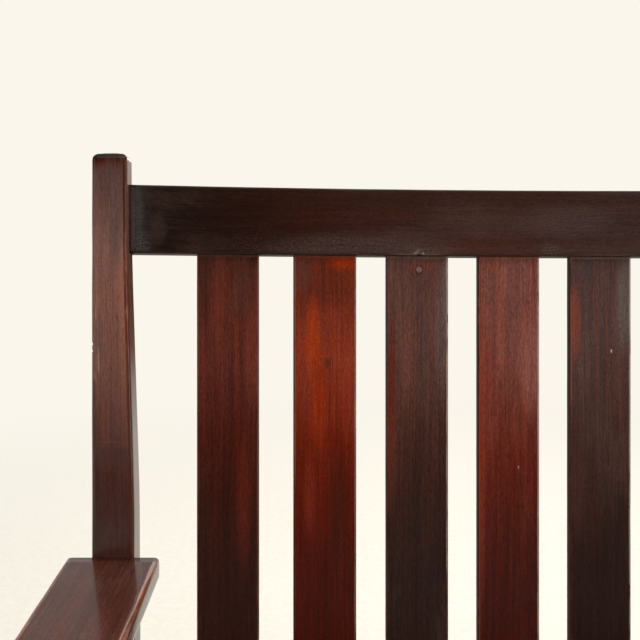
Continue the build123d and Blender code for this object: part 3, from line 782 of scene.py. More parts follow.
postSideLook = lookOf(
    (500, (66, 40, 31)), (740, (76, 48, 37)), (830, (84, 56, 44)), (870, (84, 57, 44)),
    (930, (84, 57, 44)), (965, (98, 66, 52)), (1000, (98, 66, 52)),
    seed=14.0, specular=0.0, roughness=0.3, rub=0.1,
    coat=[(0, 0.5), (740, 0.95), (790, 0.6), (830, 0.1), (870, 0.0), (930, 0.0), (965, 0.9), (1020, 1.0)],
)

makeBackPost(-1, "left", postLooks["left"])
makeBackPost(1, "right", postLooks["right"])
print("back posts ready")


# Bowed rails, swept round the bow from one post to the other
railPlan = {
    "arris": 1.5 * mm,
    "swell": 0.6 * mm,  # how far the edges stand out
    "hidden": 2.5 * mm,  # how far the swept rail runs into each post
}

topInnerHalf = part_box("back_post_right")[1].x - postPlan["topWidth"]
bowCentre = stance["railSetback"] - math.sqrt(stance["bowRadius"] ** 2 - topInnerHalf ** 2)
bowMiddle = stance["bowRadius"] + stance["railThickness"] / 2  # halfway through a rail


# At a turn round the bow: the directions along the rail and away from the sitter
def bowDirections(turn):
    across = acrossDir * math.cos(turn) - awayDir * math.sin(turn)
    deep = acrossDir * math.sin(turn) + awayDir * math.cos(turn)
    return across, deep


def makeBowedRail(node, name, halfLength, look, edgeLook, seed):
    box = backBox(node)
    height = box[1].z - box[0].z + 2 * railPlan["swell"]
    middle = (box[1].z + box[0].z) / 2
    sweep = math.asin((halfLength + railPlan["hidden"]) / bowMiddle)
    length = 2 * sweep * bowMiddle
    board = Board(name, height, stance["railThickness"], seed)
    board.dents = look["dents"]
    for distance in alongPlaces(length, dents=board.dents):
        turn = distance / bowMiddle - sweep
        place = backPoint(bowMiddle * math.sin(turn), bowCentre + bowMiddle * math.cos(turn), middle)
        deep = bowDirections(turn)[1]
        board.ring(place, slopeDir, deep, height / 2, stance["railThickness"] / 2,
                   railPlan["arris"], distance)
    dress(board.build(look, edgeLook), node)


# Places along the top rail from its left end; across is up the slope from the rail's middle. Its grey,
# speckled patches are painted sheen, the grey at its left end beside the post is a dull patch under painted
# sheen, the pale lines on its lower arris are painted highlights and the dark lines along both arrises
# painted shade
topRailLook = lookOf(
    (5, (54, 48, 46)), (11, (47, 42, 40)), (19, (35, 28, 26)), (30, (28, 18, 15)), (60, (27, 15, 11)),
    (115, (33, 16, 10)), (175, (41, 20, 14)), (235, (47, 27, 22)), (300, (48, 29, 24)),
    (420, (53, 33, 28)), (500, (54, 37, 33)), (800, (50, 30, 24)),
    seed=2.0, streak=0.10, fleck=0.2, darkness=0.3, glow=0.3, haze=0.10, rub=0.15, rubbed=paint(60, 42, 36),
    wander=0.004, coat=[(0, 0.18), (20, 0.15), (40, 0.05), (140, 0.05), (250, 0.2)],
    patches=[
        (8, 9, 30, 8, (72, 69, 70), 0.35, 0.5), (-24, 12, 14, 13, (94, 88, 88), 0.45, 1.0),
        (-28, 438, 8, 12, (100, 92, 94), 0.6, 1.0), (-28, 240, 18, 110, (92, 80, 80), 0.40, 1.0),
        (-26, 140, 18, 60, (60, 50, 48), 0.35, 1.0), (-29, 312, 6, 35, (100, 80, 74), 0.5, 1.0),
        (-26, 365, 16, 65, (60, 26, 18), 0.5), (10, 230, 22, 90, (52, 24, 18), 0.4),
        (-30, 240, 22, 110, (64, 48, 44), 0.50), (-28, 550, 10, 300, (66, 44, 38), 0.4),
        (26, 360, 10, 240, (46, 25, 19), 0.6), (2, 452, 20, 60, (74, 60, 58), 0.45, 0.35),
        (-4, 390, 20, 50, (66, 50, 46), 0.35, 0.5), (-10, 30, 18, 10, (50, 38, 34), 0.6),
        (-4, 4.5, 50, 2.2, (74, 66, 60), 0.8), (-31, 297, 2.2, 2.2, (120, 104, 98), 0.9, 0.7),
        (-29.5, 300, 3, 4.5, (112, 98, 94), 0.8, 1.0), (-32.5, 303.5, 1.6, 1.4, (150, 134, 126), 0.9),
        (-32.5, 294.5, 1.2, 1, (150, 136, 128), 0.9),
    ],
    lines=[
        (-1, 276, 322, (124, 104, 96), 0.85), (-1, 470, 530, (104, 84, 76), 0.5),
        (-1, 0, 1100, (34, 18, 12), 0.7), (1, 0, 1100, (30, 16, 10), 0.8),
    ],
    dents=[
        Dent((-34, -12, 299), (3.5, 4, 3.2), (1.1, 1.1, 0)),
        Dent((-34, -12, 114.5), (3, 4, 2.2), (0.8, 0.9, 0)),
    ],
)
railEdgeLook = lookOf((52, 36, 27), seed=13.0, coat=0.0, specular=0.05, roughness=0.5, haze=0.0, rub=0.0)
lowerRailLook = lookOf((56, 28, 20), seed=12.0)
makeBowedRail("top_back_rail", "topRail", topInnerHalf, topRailLook, railEdgeLook, 21.0)
makeBowedRail("lower_back_rail", "lowerRail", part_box("back_seat_rail")[1].x, lowerRailLook, None, 22.0)
print("bowed rails ready")


# Ten slats standing round the bow; each has its own board, so its own colour
slatPlan = {
    "width": 63.5 * mm,
    "thickness": 12 * mm,
    "arris": 1.4 * mm,
    "count": 10,
    "spare": [(0.1, 0.1), (1.1, 0.8), (0.8, 0.9), (0.6, 0.9), (0.0, 1.3)],  # mm left and right, by look
    "order": [0, 1, 2, 3, 4, 2, 0, 3, 1, 4],  # the look of each slat
    "seedStep": 40,  # between slats that share a look
    "smallMark": 5 * mm,  # marks up to this size stay on the first slats
    "coat": [(0, 0.0), (140, 0.0), (225, 0.06), (290, 0.28), (440, 0.30)],  # up from the foot
}

# Places on a slat, from its foot and its middle. Each slat's tones darken towards its foot, painted shade for
# light that falls from above; greyer tones and grey patches are painted sheen, bands just under the rail are
# painted light, and pale lines along the arrises are painted highlights
slatTop = 436.5  # where the rail's edge crosses it
slatLooks = [
    lookOf(
        (100, (44, 16, 9)), (180, (49, 16, 8)), (250, (62, 23, 14)), (320, (80, 37, 29)),
        (370, (80, 36, 27)), (420, (69, 34, 25)),
        seed=31.0, darkness=0.4, glow=0.45, haze=0.08,
        patches=[
            (24, 330, 8, 60, (100, 46, 35), 0.55), (-8, 385, 12, 60, (88, 37, 27), 0.5),
            (-26, 410, 12, 60, (60, 31, 23), 0.7), (14, 395, 12, 30, (72, 40, 33), 0.7),
            (27, slatTop, 10, 16, (48, 21, 12), 0.8), (16, 190, 10, 90, (78, 25, 12), 0.8),
            (-26, 160, 12, 80, (46, 20, 14), 0.6),
        ],
        lines=[(1, 0, 440, (104, 72, 60), 0.5)], worn=(84, 56, 48),
    ),
    lookOf(
        (100, (64, 14, 3)), (170, (74, 16, 3)), (240, (92, 24, 6)), (330, (118, 47, 29)),
        (360, (108, 44, 28)), (390, (89, 37, 23)),
        seed=32.0, darkness=0.4, glow=0.45, haze=0.04,
        patches=[
            (-13, 344, 9.5, 50, (142, 50, 16), 0.85), (-6.5, 280, 10, 60, (124, 38, 9), 0.75),
            (-10, 180, 20, 60, (88, 20, 3), 0.5), (20, 430, 20, 14, (134, 42, 8), 0.8),
            (-23, 420, 12, 30, (84, 46, 38), 0.75), (14, 170, 12, 90, (58, 18, 7), 0.75),
            (-16, 190, 8, 55, (104, 36, 20), 0.5), (8, 370, 16, 12, (112, 43, 27), 0.5),
            (2.5, 322, 3, 6, (58, 30, 26), 0.7),
        ],
        lines=[(1, 0, 440, (134, 92, 76), 0.7), (-1, 200, 440, (112, 72, 58), 0.7)],
        worn=(112, 60, 46),
    ),
    lookOf(
        (100, (40, 23, 19)), (170, (47, 27, 22)), (240, (58, 34, 28)), (300, (74, 47, 40)),
        (350, (80, 53, 47)), (410, (79, 51, 45)),
        seed=33.0, darkness=0.35, glow=0.35, haze=0.15,
        patches=[
            (-28, 270, 8, 110, (88, 38, 24), 0.8), (26, 360, 10, 80, (90, 68, 65), 0.75),
            (30, 400, 5, 50, (88, 74, 76), 0.6), (0, slatTop - 3, 50, 5, (88, 66, 60), 0.6),
            (-13, 330, 7, 70, (98, 58, 48), 0.6), (2, 424, 18, 8, (96, 52, 43), 0.6),
            (1.8, 419.6, 5.2, 5.4, (62, 26, 19), 0.95), (2.5, 411.5, 4.5, 3.5, (64, 60, 55), 0.75),
        ],
        lines=[(1, 100, 440, (150, 126, 116), 0.8)], worn=(102, 78, 70),
    ),
    lookOf(
        (100, (60, 18, 11)), (160, (70, 22, 12)), (220, (88, 31, 20)), (270, (94, 42, 31)),
        (330, (107, 60, 51)), (400, (105, 64, 56)),
        seed=34.0, darkness=0.35, glow=0.4, haze=0.08,
        patches=[
            (22, 320, 13, 60, (122, 75, 66), 0.75), (-20, 290, 11, 80, (104, 48, 37), 0.7),
            (-29, 240, 6, 200, (124, 46, 26), 0.6), (16, 180, 10, 60, (80, 31, 21), 0.6),
            (0, slatTop, 50, 4, (104, 62, 52), 0.5), (10, 212, 0.8, 2.2, (170, 130, 118), 0.8),
            (19.5, 385.9, 4, 5, (82, 50, 52), 0.7), (-18.7, 423.5, 2.4, 7, (134, 52, 30), 0.5),
        ],
        lines=[(1, 0, 440, (164, 130, 116), 0.8), (-1, 0, 440, (112, 58, 42), 0.5)],
        worn=(130, 78, 66),
    ),
    lookOf(
        (100, (37, 20, 16)), (170, (48, 26, 20)), (240, (58, 37, 31)), (290, (70, 47, 42)),
        (350, (76, 54, 50)), (420, (70, 51, 47)),
        seed=35.0, darkness=0.35, glow=0.3, haze=0.15,
        patches=[
            (-27.5, 365, 7.5, 44, (116, 58, 42), 0.75), (25, 385, 11, 60, (84, 74, 71), 0.8),
            (20, 155, 16, 50, (38, 23, 18), 0.7), (-24, 200, 12, 70, (66, 42, 37), 0.5),
            (11.6, 334.4, 0.9, 2.4, (176, 168, 163), 0.8), (0, slatTop, 50, 4, (86, 66, 60), 0.5),
        ],
        lines=[(1, 0, 440, (136, 120, 112), 0.8), (-1, 280, 440, (124, 76, 60), 0.6)],
        worn=(104, 82, 76),
        dents=[Dent((11.6, -6, 334.4), (1.4, 3, 3.2), (0, 0.4, 0))],
    ),
]
# Slat sides: rough and matte, their dark colour partly painted shade, the dark they lie in between the slats
slatSideLook = lookOf((40, 23, 17), seed=44.0, coat=0.0, specular=0.06, roughness=0.6, haze=0.0)


def makeSlat(number):
    node = f"back_slat_{number}"
    low, high = backBox(node)
    centre = (low.x + high.x) / 2
    across, deep = bowDirections(math.asin(centre / bowMiddle))
    foot = backPoint(centre, bowCentre + math.sqrt(bowMiddle ** 2 - centre ** 2), low.z)
    kind = slatPlan["order"][number - 1]
    look = dict(slatLooks[kind], coat=coatOf(slatPlan["coat"]))
    left, right = slatPlan["spare"][kind]
    broad = slatPlan["width"] + (left + right) * mm
    foot = foot + across * (right - left) * mm / 2
    patches = look["patches"]
    if number > len(slatLooks):
        look["seed"] += slatPlan["seedStep"]
        look["dents"] = ()
        patches = [patch for patch in patches if min(patch[1]) > slatPlan["smallMark"]]
    # Bands at the slat's top: just under the rail, painted light that offsets the rail's shadow, with a worn
    # line in it; at the rail's edge, a dark band of painted shadow from the rail
    look["patches"] = patches + [
        patchOf(0, slatTop - 2.2, 90, 3.6, look["worn"], 0.9),
        patchOf(0, slatTop + 1.2, 90, 2.2, (30, 11, 6), 1.0),
    ]
    board = Board(f"backSlat{number}", broad, slatPlan["thickness"], 40.0 + number)
    board.dents = look["dents"]
    for distance in alongPlaces(high.z - low.z, dents=board.dents):
        board.ring(foot + slopeDir * distance, across, deep, broad / 2,
                   slatPlan["thickness"] / 2, slatPlan["arris"], distance)
    dress(board.build(look, slatSideLook), node)


for number in range(1, slatPlan["count"] + 1):
    makeSlat(number)
print("slats ready")


# A straight board in a node's box; ends lengthen it into its neighbour, or cut its tenons off
def makeBoard(node, name, look, directions, arris, seed, ends=(0.0, 0.0), radii=(0.0, 0.0)):
    along, across, deep = directions
    low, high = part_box(node)
    size = [abs((high - low).dot(direction)) for direction in directions]
    length = size[0] + ends[0] + ends[1]
    start = (low + high) / 2 - along * (size[0] / 2 + ends[0])
    board = Board(name, size[1], size[2], seed)
    board.dents = look["dents"]
    for distance in alongPlaces(length, radii, board.dents):
        inset = endInset(distance, radii[0]) + endInset(length - distance, radii[1])
        board.ring(start + along * distance, across, deep, size[1] / 2 - inset, size[2] / 2 - inset,
                   easedArris(arris, inset, framePlan["leastArris"]), distance)
    dress(board.build(look), node)


upright = (upDir, acrossDir, rearDir)
uprightSideways = (upDir, rearDir, acrossDir)
lengthwise = (acrossDir, upDir, rearDir)
frontToBack = (rearDir, upDir, acrossDir)

framePlan = {
    "hidden": 2.5 * mm,  # how far a board runs into its neighbour
    "postArris": 3.8 * mm,
    "railArris": 2.5 * mm,
    "stretcherArris": 2.6 * mm,
    "slatArris": 1.6 * mm,
    "sideTenon": 20 * mm,
    "longTenon": 12 * mm,
    "footRadius": 2.5 * mm,
    "leastArris": 0.8 * mm,
}

frontPostLook = lookOf(
    (0, (58, 30, 22)), (80, (76, 38, 26)), (350, (84, 42, 29)), (590, (72, 36, 25)),
    rubbed=paint(134, 66, 42), rub=0.7,
)
seatRailLook = lookOf((66, 32, 22), rub=0.6)
stretcherLook = lookOf((74, 38, 26), rubbed=paint(128, 70, 46), rub=0.8, roughness=0.36)

hidden = (framePlan["hidden"],) * 2
cutSide = (framePlan["hidden"] - framePlan["sideTenon"],) * 2
cutLong = (framePlan["hidden"] - framePlan["longTenon"],) * 2
railArris, stretcherArris = framePlan["railArris"], framePlan["stretcherArris"]
for label, side in (("left", -1), ("right", 1)):
    makeBoard("front_post_" + label, "frontPost" + label.title(), dict(frontPostLook, seed=51.0 + side),
              upright, framePlan["postArris"], 5.0 + side, radii=(framePlan["footRadius"], 0.0))
for label, seed, boardSeed in (("front", 53.0, 61.0), ("back", 54.0, 62.0)):
    makeBoard(label + "_seat_rail", label + "SeatRail", dict(seatRailLook, seed=seed),
              lengthwise, railArris, boardSeed, hidden)
for label, side in (("left", -1), ("right", 1)):
    name = label.title()
    makeBoard("side_seat_rail_" + label, "sideSeatRail" + name, dict(seatRailLook, seed=55.0 + side),
              frontToBack, railArris, 63.0 + side, hidden)
    makeBoard("side_stretcher_" + label, "sideStretcher" + name, dict(stretcherLook, seed=58.0 + side),
              frontToBack, stretcherArris, 66.0 + side, cutSide)
makeBoard("long_stretcher", "longStretcher", dict(stretcherLook, seed=57.0),
          lengthwise, stretcherArris, 69.0, cutLong)
print("posts, seat rails and stretchers ready")

sideSlatLooks = [lookOf((88, 38, 26)), lookOf((72, 38, 30)), lookOf((78, 32, 22))]
for number in range(1, 5):
    for label, side in (("left", -1), ("right", 1)):
        look = dict(sideSlatLooks[(number + (side > 0)) % 3], seed=71.0 + number + side * 9)
        makeBoard(f"side_slat_{number}_{label}", f"sideSlat{number}{label.title()}", look, uprightSideways,
                  framePlan["slatArris"], 73.0 + number + side * 9)
print("side slats ready")


# Flat arms: round at the front corners, and cut at the back to the slope of the post
armPlan = {
    "corner": 12 * mm,  # in plan
    "arris": 4 * mm,
    "noseShare": 0.9,  # of the arris that the extra sections at the front cover
    "noseStart": 0.05 * mm,
}

armLook = lookOf(
    (0, (96, 52, 36)), (160, (88, 46, 32)), (400, (76, 39, 28)), (580, (66, 34, 25)),
    rubbed=paint(142, 82, 56), rub=0.9, roughness=0.26, haze=0.25, coat=0.45,
)


def makeArm(label, side):
    node = "arm_" + label
    low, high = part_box(node)
    middle = (low + high) / 2
    rearY = kneeY + (middle.z - kneeHeight) * math.tan(lean)
    length = rearY - low.y
    board = Board("arm" + label.title(), high.x - low.x, high.z - low.z, 82.0 + side)

    def toSlope(point):
        return Vector((point.x, kneeY + (point.z - kneeHeight) * math.tan(lean), point.z))

    places = alongPlaces(length, (armPlan["corner"], 0.0))
    for k in range(1, 4):
        bend = armPlan["arris"] * (1 - math.cos(math.pi * k / 8))
        places.append(bend * armPlan["noseShare"] + armPlan["noseStart"])
    places = sorted(places)
    for distance in places:
        board.ring(Vector((middle.x, low.y + distance, middle.z)), acrossDir, upDir,
                   (high.x - low.x) / 2 - endInset(distance, armPlan["corner"]),
                   (high.z - low.z) / 2 - endInset(distance, armPlan["arris"]),
                   armPlan["arris"], distance, toSlope if distance == places[-1] else None)
    dress(board.build(dict(armLook, seed=81.0 + side)), node)


makeArm("left", -1)
makeArm("right", 1)
print("arms ready")


# The leather cushion: a crowned form, swelled by cloth simulation, then welted along its edges
cushionPlan = {
    "side": 44 * mm,
    "crown": 14 * mm,
    "shoulder": 15 * mm,
    "footBend": 6 * mm,
    "pull": 5 * mm,
    "corner": 26 * mm,
    "slack": 2.0 * mm,  # how much smaller the form starts
    "crownPowers": (2.6, 2.3, 0.85),  # of the fall towards the ends, towards front and back, and of both
    "baseShares": (0.75, 0.3),  # rings under the cushion, as shares of its half depth
    "topShares": (0.2, 0.35, 0.5, 0.65, 0.8, 0.92),  # rings over it
    "baseRing": 1.6,  # the outermost ring below, in bends of the foot
    "waist": 0.42,  # share of the side's height where it stands out most
    "waistOut": 0.5 * mm,
    "formStep": 16 * mm,
    "voxel": 7 * mm,
    "held": 2.5 * mm,  # leather this near the frame stays where it is
    "frames": 16,
    "cap": 7 * mm,  # the furthest that a point may swell
    "room": 1 * mm,  # past the solid's box
    "welt": 2.4 * mm,
    "weltSunk": 0.35,  # share of the welt's radius inside the leather
    "weltStep": 7 * mm,
    "weltLow": 7 * mm,
    "weltHigh": 35 * mm,
    "weltStart": 30 * mm,  # how far outside the rays to the leather begin
}

# What the cloth simulation takes for the leather
clothPlan = {
    "quality": 5,
    "mass": 0.4,
    "tension_stiffness": 25,
    "compression_stiffness": 20,
    "shear_stiffness": 8,
    "bending_stiffness": 4,
    "use_pressure": True,
    "uniform_pressure_force": 4.0,
    "shrink_min": -0.02,
}


# Plan of the cushion: round corners, and sides that draw in between them
def cushionOutline(halfX, halfY, step):
    radius = cushionPlan["corner"]
    spots = []
    for signX, signY in ((1, -1), (1, 1), (-1, 1), (-1, -1)):
        start = {(1, -1): -0.5, (1, 1): 0.0, (-1, 1): 0.5, (-1, -1): 1.0}[(signX, signY)]
        for k in range(7):
            turn = math.pi * (start + k / 12)
            spots.append(((halfX - radius) * signX + radius * math.cos(turn),
                          (halfY - radius) * signY + radius * math.sin(turn)))
        straight = halfY - radius if signX * signY < 0 else halfX - radius
        count = max(2, round(2 * straight / step))
        for k in range(1, count):
            share = 2 * k / count - 1
            draw = cushionPlan["pull"] * (1 - share * share)
            if signX * signY < 0:
                spots.append((signX * (halfX - draw), signX * straight * share))
            else:
                spots.append((-signX * straight * share, signY * (halfY - draw)))
    return spots


def cushionTop(x, y, halfX, halfY):
    powerX, powerY, power = cushionPlan["crownPowers"]
    fall = (1 - min(1, abs(x) / halfX) ** powerX) * (1 - min(1, abs(y) / halfY) ** powerY)
    return cushionPlan["crown"] * max(0.0, fall) ** power


def cushionForm():
    low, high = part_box("seat_cushion")
    middle = (low + high) / 2
    halfX = (high.x - low.x) / 2 - cushionPlan["slack"]
    halfY = (high.y - low.y) / 2 - cushionPlan["slack"]
    outline = cushionOutline(halfX, halfY, cushionPlan["formStep"])
    bend = cushionPlan["footBend"]
    shoulder = cushionPlan["shoulder"]
    levels = [(halfY * share, 0.0) for share in cushionPlan["baseShares"]]
    levels.append((bend * cushionPlan["baseRing"], 0.0))
    for k in range(5):
        turn = math.pi * k / 8
        levels.append((bend * (1 - math.sin(turn)), bend * (1 - math.cos(turn))))
    levels.append((-cushionPlan["waistOut"], cushionPlan["side"] * cushionPlan["waist"]))
    for k in range(6):
        turn = math.pi * k / 10
        drop = shoulder * (1 - math.sin(turn))
        levels.append((shoulder * (1 - math.cos(turn)), cushionPlan["side"] - drop))
    levels += [(halfY * share, cushionPlan["side"]) for share in cushionPlan["topShares"]]
    points = []
    for inset, height in levels:
        for x, y in outline:
            shareX = (halfX - inset) / halfX
            shareY = (halfY - inset) / halfY
            px, py = x * shareX, y * shareY
            rise = cushionTop(px, py, halfX, halfY) if height >= cushionPlan["side"] else 0.0
            points.append((middle.x + px, middle.y + py, low.z + height + rise))
    count = len(outline)
    faces = []
    for a in range(0, (len(levels) - 1) * count, count):
        b = a + count
        for i in range(count):
            j = (i + 1) % count
            faces.append((a + i, a + j, b + j, b + i))
    faces.append(tuple(reversed(range(count))))
    faces.append(tuple(range((len(levels) - 1) * count, len(levels) * count)))
    mesh = bpy.data.meshes.new("seatCushion")
    mesh.from_pydata(points, [], faces)
    work = bmesh.new()
    work.from_mesh(mesh)
    flat = [face for face in work.faces if len(face.verts) > 4]
    bmesh.ops.triangulate(work, faces=flat)
    bmesh.ops.recalc_face_normals(work, faces=work.faces)
    work.to_mesh(mesh)
    work.free()
    return mesh


def applied(obj):
    depth = bpy.context.evaluated_depsgraph_get()
    return bpy.data.meshes.new_from_object(obj.evaluated_get(depth))


def swell(obj, floor):
    remesh = obj.modifiers.new("voxels", "REMESH")
    remesh.mode = "VOXEL"
    remesh.voxel_size = cushionPlan["voxel"]
    obj.data = applied(obj)
    obj.modifiers.clear()
    start = [vertex.co.copy() for vertex in obj.data.vertices]
    held = obj.vertex_groups.new(name="held")
    heldHeight = floor + cushionPlan["held"]
    held.add([i for i, place in enumerate(start) if place.z < heldHeight], 1.0, "REPLACE")
    cloth = obj.modifiers.new("leather", "CLOTH")
    for key, value in clothPlan.items():
        setattr(cloth.settings, key, value)
    cloth.settings.effector_weights.gravity = 0
    cloth.settings.vertex_group_mass = "held"
    cloth.collision_settings.use_collision = False
    cloth.point_cache.frame_start = 1
    cloth.point_cache.frame_end = cushionPlan["frames"]
    for frameNumber in range(1, cushionPlan["frames"] + 1):
        scene.frame_set(frameNumber)
    swollen = applied(obj)
    for vertex, place in zip(swollen.vertices, start):
        move = vertex.co - place
        if move.length > cushionPlan["cap"]:
            move *= cushionPlan["cap"] / move.length
        vertex.co = place + move
    obj.modifiers.clear()
    scene.frame_set(1)
    obj.data = swollen


def makeCushion():
    low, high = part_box("seat_cushion")
    cushion = bpy.data.objects.new("seatCushion", cushionForm())
    scene.collection.objects.link(cushion)
    swell(cushion, low.z)
    room = cushionPlan["room"]
    for vertex in cushion.data.vertices:
        vertex.co.x = min(high.x + room, max(low.x - room, vertex.co.x))
        vertex.co.y = min(high.y + room, max(low.y - room, vertex.co.y))
        vertex.co.z = max(low.z, vertex.co.z)
    smooth = cushion.modifiers.new("smooth", "SUBSURF")
    smooth.levels = smooth.render_levels = 1
    cushion.data = applied(cushion)
    cushion.modifiers.clear()
    cushion.data.shade_smooth()
    cushion.data.materials.clear()
    leather = leatherFinish("cushionLeather")
    cushion.data.materials.append(leather)
    dress(cushion, "seat_cushion", "drop_in_seat")
    makeWelts(cushion, leather, low, high)


def makeWelts(cushion, leather, low, high):
    tree = BVHTree.FromPolygons([vertex.co for vertex in cushion.data.vertices],
                                [polygon.vertices for polygon in cushion.data.polygons])
    middle = (low + high) / 2
    outline = cushionOutline((high.x - low.x) / 2, (high.y - low.y) / 2, cushionPlan["weltStep"])
    for name in ("weltLow", "weltHigh"):
        height = cushionPlan[name]
        line = []
        for i, (x, y) in enumerate(outline):
            ahead = outline[(i + 1) % len(outline)]
            behind = outline[i - 1]
            inward = Vector((behind[1] - ahead[1], ahead[0] - behind[0], 0)).normalized()
            spot = Vector((middle.x + x, middle.y + y, low.z + height)) - inward * cushionPlan["weltStart"]
            hit = tree.ray_cast(spot, inward)[0]
            if hit is not None:
                line.append(hit - inward * cushionPlan["welt"] * cushionPlan["weltSunk"])
        count = len(line)
        line = [(line[i - 1] + line[i] * 2 + line[(i + 1) % count]) / 4 for i in range(count)]
        curve = bpy.data.curves.new(name, "CURVE")
        curve.dimensions = "3D"
        curve.bevel_depth = cushionPlan["welt"]
        curve.bevel_resolution = 3
        spline = curve.splines.new("POLY")
        spline.points.add(count - 1)
        for point, spot in zip(spline.points, line):
            point.co = (*spot, 1.0)
        spline.use_cyclic_u = True
        curve.materials.append(leather)
        welt = bpy.data.objects.new("cushion" + name[0].upper() + name[1:], curve)
        scene.collection.objects.link(welt)
        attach(welt, "drop_in_seat")


# Worn brown leather: pebbled grain, soft creases, paler and darker in soft clouds
def leatherFinish(name):
    shade = Shader(name)
    place = shade.node("ShaderNodeTexCoord", out=3)
    warped = shade.stretched(place, (1, 1, 1), (0.3, 0.1, 0.7))
    bend = shade.noise(warped, 60, 3, 0.6)
    x, y, z = shade.parts(warped)
    bent = shade.join(x + bend * 0.012, y + bend * 0.010, z + bend * 0.008)
    pebble, crease = (
        shade.node("ShaderNodeTexVoronoi", {"feature": "DISTANCE_TO_EDGE"}, {"Vector": bent, "Scale": scale})
        for scale in (430, 34)
    )
    cloud = shade.noise(warped, 5.5, 4, 0.6)
    speck = shade.noise(warped, 220, 3, 0.6)
    colour = shade.blend(shade.between(cloud, 0.35, 0.68), paint(70, 38, 24), paint(104, 60, 36))
    colour = shade.blend(shade.between(crease, 0.035, 0.0) * 0.55, colour, paint(46, 24, 16))
    colour = shade.blend(shade.between(pebble, 0.10, 0.0) * 0.5, colour, paint(40, 21, 14))
    colour = shade.blend(shade.between(speck, 0.62, 0.8) * 0.35, colour, paint(134, 86, 54))
    roughness = 0.46 + (cloud - 0.5) * 0.2 + shade.between(pebble, 0.12, 0.0) * 0.15
    grain = shade.bump(shade.between(pebble, 0.0, 0.14), 0.16 * mm, 0.7)
    normal = shade.bump(shade.between(crease, 0.0, 0.05) + cloud * 0.6, 0.5 * mm, 0.5, grain)
    return shade.finish(colour=colour, roughness=roughness.limited(), normal=normal, specular=0.45,
                        sheen=0.08, sheenRoughness=0.4)


makeCushion()
print("cushion ready")

# Jute webbing under the cushion, woven one strip over the other
webbingPlan = {
    "width": 50 * mm,
    "thickness": 1.3 * mm,
    "rise": 0.75 * mm,  # from the middle height to a strip that passes over or under
    "step": 7 * mm,
    "thread": 1.25 * mm,
    "stripe": 17 * mm,  # from the middle to the red lines
    "long": 3,  # strips from end to end of the seat
    "cross": 8,  # strips from front to back
    "onBar": 42 * mm,  # how far a strip's end lies on the frame
    "settle": 40 * mm,  # over which a strip comes up from the frame
    "spans": 6,  # faces across a strip
}


def juteFinish():
    shade = Shader("juteWebbing")
    strip = shade.attribute("grain", 1)
    across, deep, along = shade.parts(strip)
    pitch = 2 * math.pi / webbingPlan["thread"]
    fuzz = shade.noise(shade.stretched(strip, (700, 700, 260)), detail=3, roughness=0.7)
    warp = shade.node("ShaderNodeMath", {"operation": "SINE"}, {0: across * pitch + fuzz * 1.4})
    weft = shade.node("ShaderNodeMath", {"operation": "SINE"}, {0: along * pitch + fuzz * 1.4})
    weave = warp * weft
    tone = shade.noise(shade.stretched(strip, (30, 30, 9)), detail=3)
    colour = shade.blend(shade.between(tone, 0.35, 0.7), paint(150, 118, 76), paint(118, 90, 56))
    colour = shade.blend(shade.between(weave, -0.2, -0.9) * 0.6, colour, paint(72, 52, 32))
    side = shade.node("ShaderNodeMath", {"operation": "ABSOLUTE"}, {0: across})
    gap = shade.node("ShaderNodeMath", {"operation": "ABSOLUTE"}, {0: side - webbingPlan["stripe"]})
    colour = shade.blend(shade.between(gap, 1.9 * mm, 1.2 * mm) * 0.75, colour, paint(104, 34, 26))
    height = shade.between(weave, -1.0, 1.0) + fuzz * 0.5
    return shade.finish(colour=colour, roughness=0.9, normal=shade.bump(height, 0.35 * mm, 0.8),
                        specular=0.15, sheen=0.15, sheenRoughness=0.6)


def makeStrip(name, start, run, side, heights, material):
    count = max(2, round(run.length / webbingPlan["step"]))
    half = webbingPlan["width"] / 2
    thick = webbingPlan["thickness"] / 2
    across = webbingPlan["spans"]
    points, grain, faces = [], [], []
    for i in range(count + 1):
        spot = start + run * (i / count)
        rise = heights(run.length * i / count)
        for level in (1, -1):
            for k in range(across + 1):
                shift = half * (2 * k / across - 1)
                points.append(spot + side * shift + upDir * (rise + level * thick))
                grain.append((shift, level * thick, run.length * i / count))
    under = across + 1  # from a point on top to the one below it
    row = 2 * under
    for a in range(0, count * row, row):
        for k in range(a, a + across):
            faces.append((k, k + 1, k + row + 1, k + row))
            faces.append((k + under, k + under + row, k + under + row + 1, k + under + 1))
        for k in (a, a + across):
            faces.append((k, k + row, k + under + row, k + under))
    for a in (0, count * row):
        for k in range(a, a + across):
            faces.append((k, k + under, k + under + 1, k + 1))
    strip = pieceOf(name, points, faces, (material,), grain)
    strip.data.shade_flat()
    return strip


# Height of a strip that goes over and under the crossing ones, flat where it lies on the frame
def weavePath(crossings, first, ends):
    def height(place):
        inside = min(place - ends[0], ends[1] - place)
        if inside <= 0:
            return -webbingPlan["rise"]
        pitch = crossings[1] - crossings[0]
        wave = math.cos(math.pi * (place - crossings[0]) / pitch) * first
        settle = min(1.0, inside / webbingPlan["settle"])
        return webbingPlan["rise"] * (wave * settle - (1 - settle))
    return height


# Middles of strips spread evenly from one edge to the other
def evenPlaces(low, high, count):
    half = webbingPlan["width"] / 2
    return [low + half + (high - low - 2 * half) * i / (count - 1) for i in range(count)]


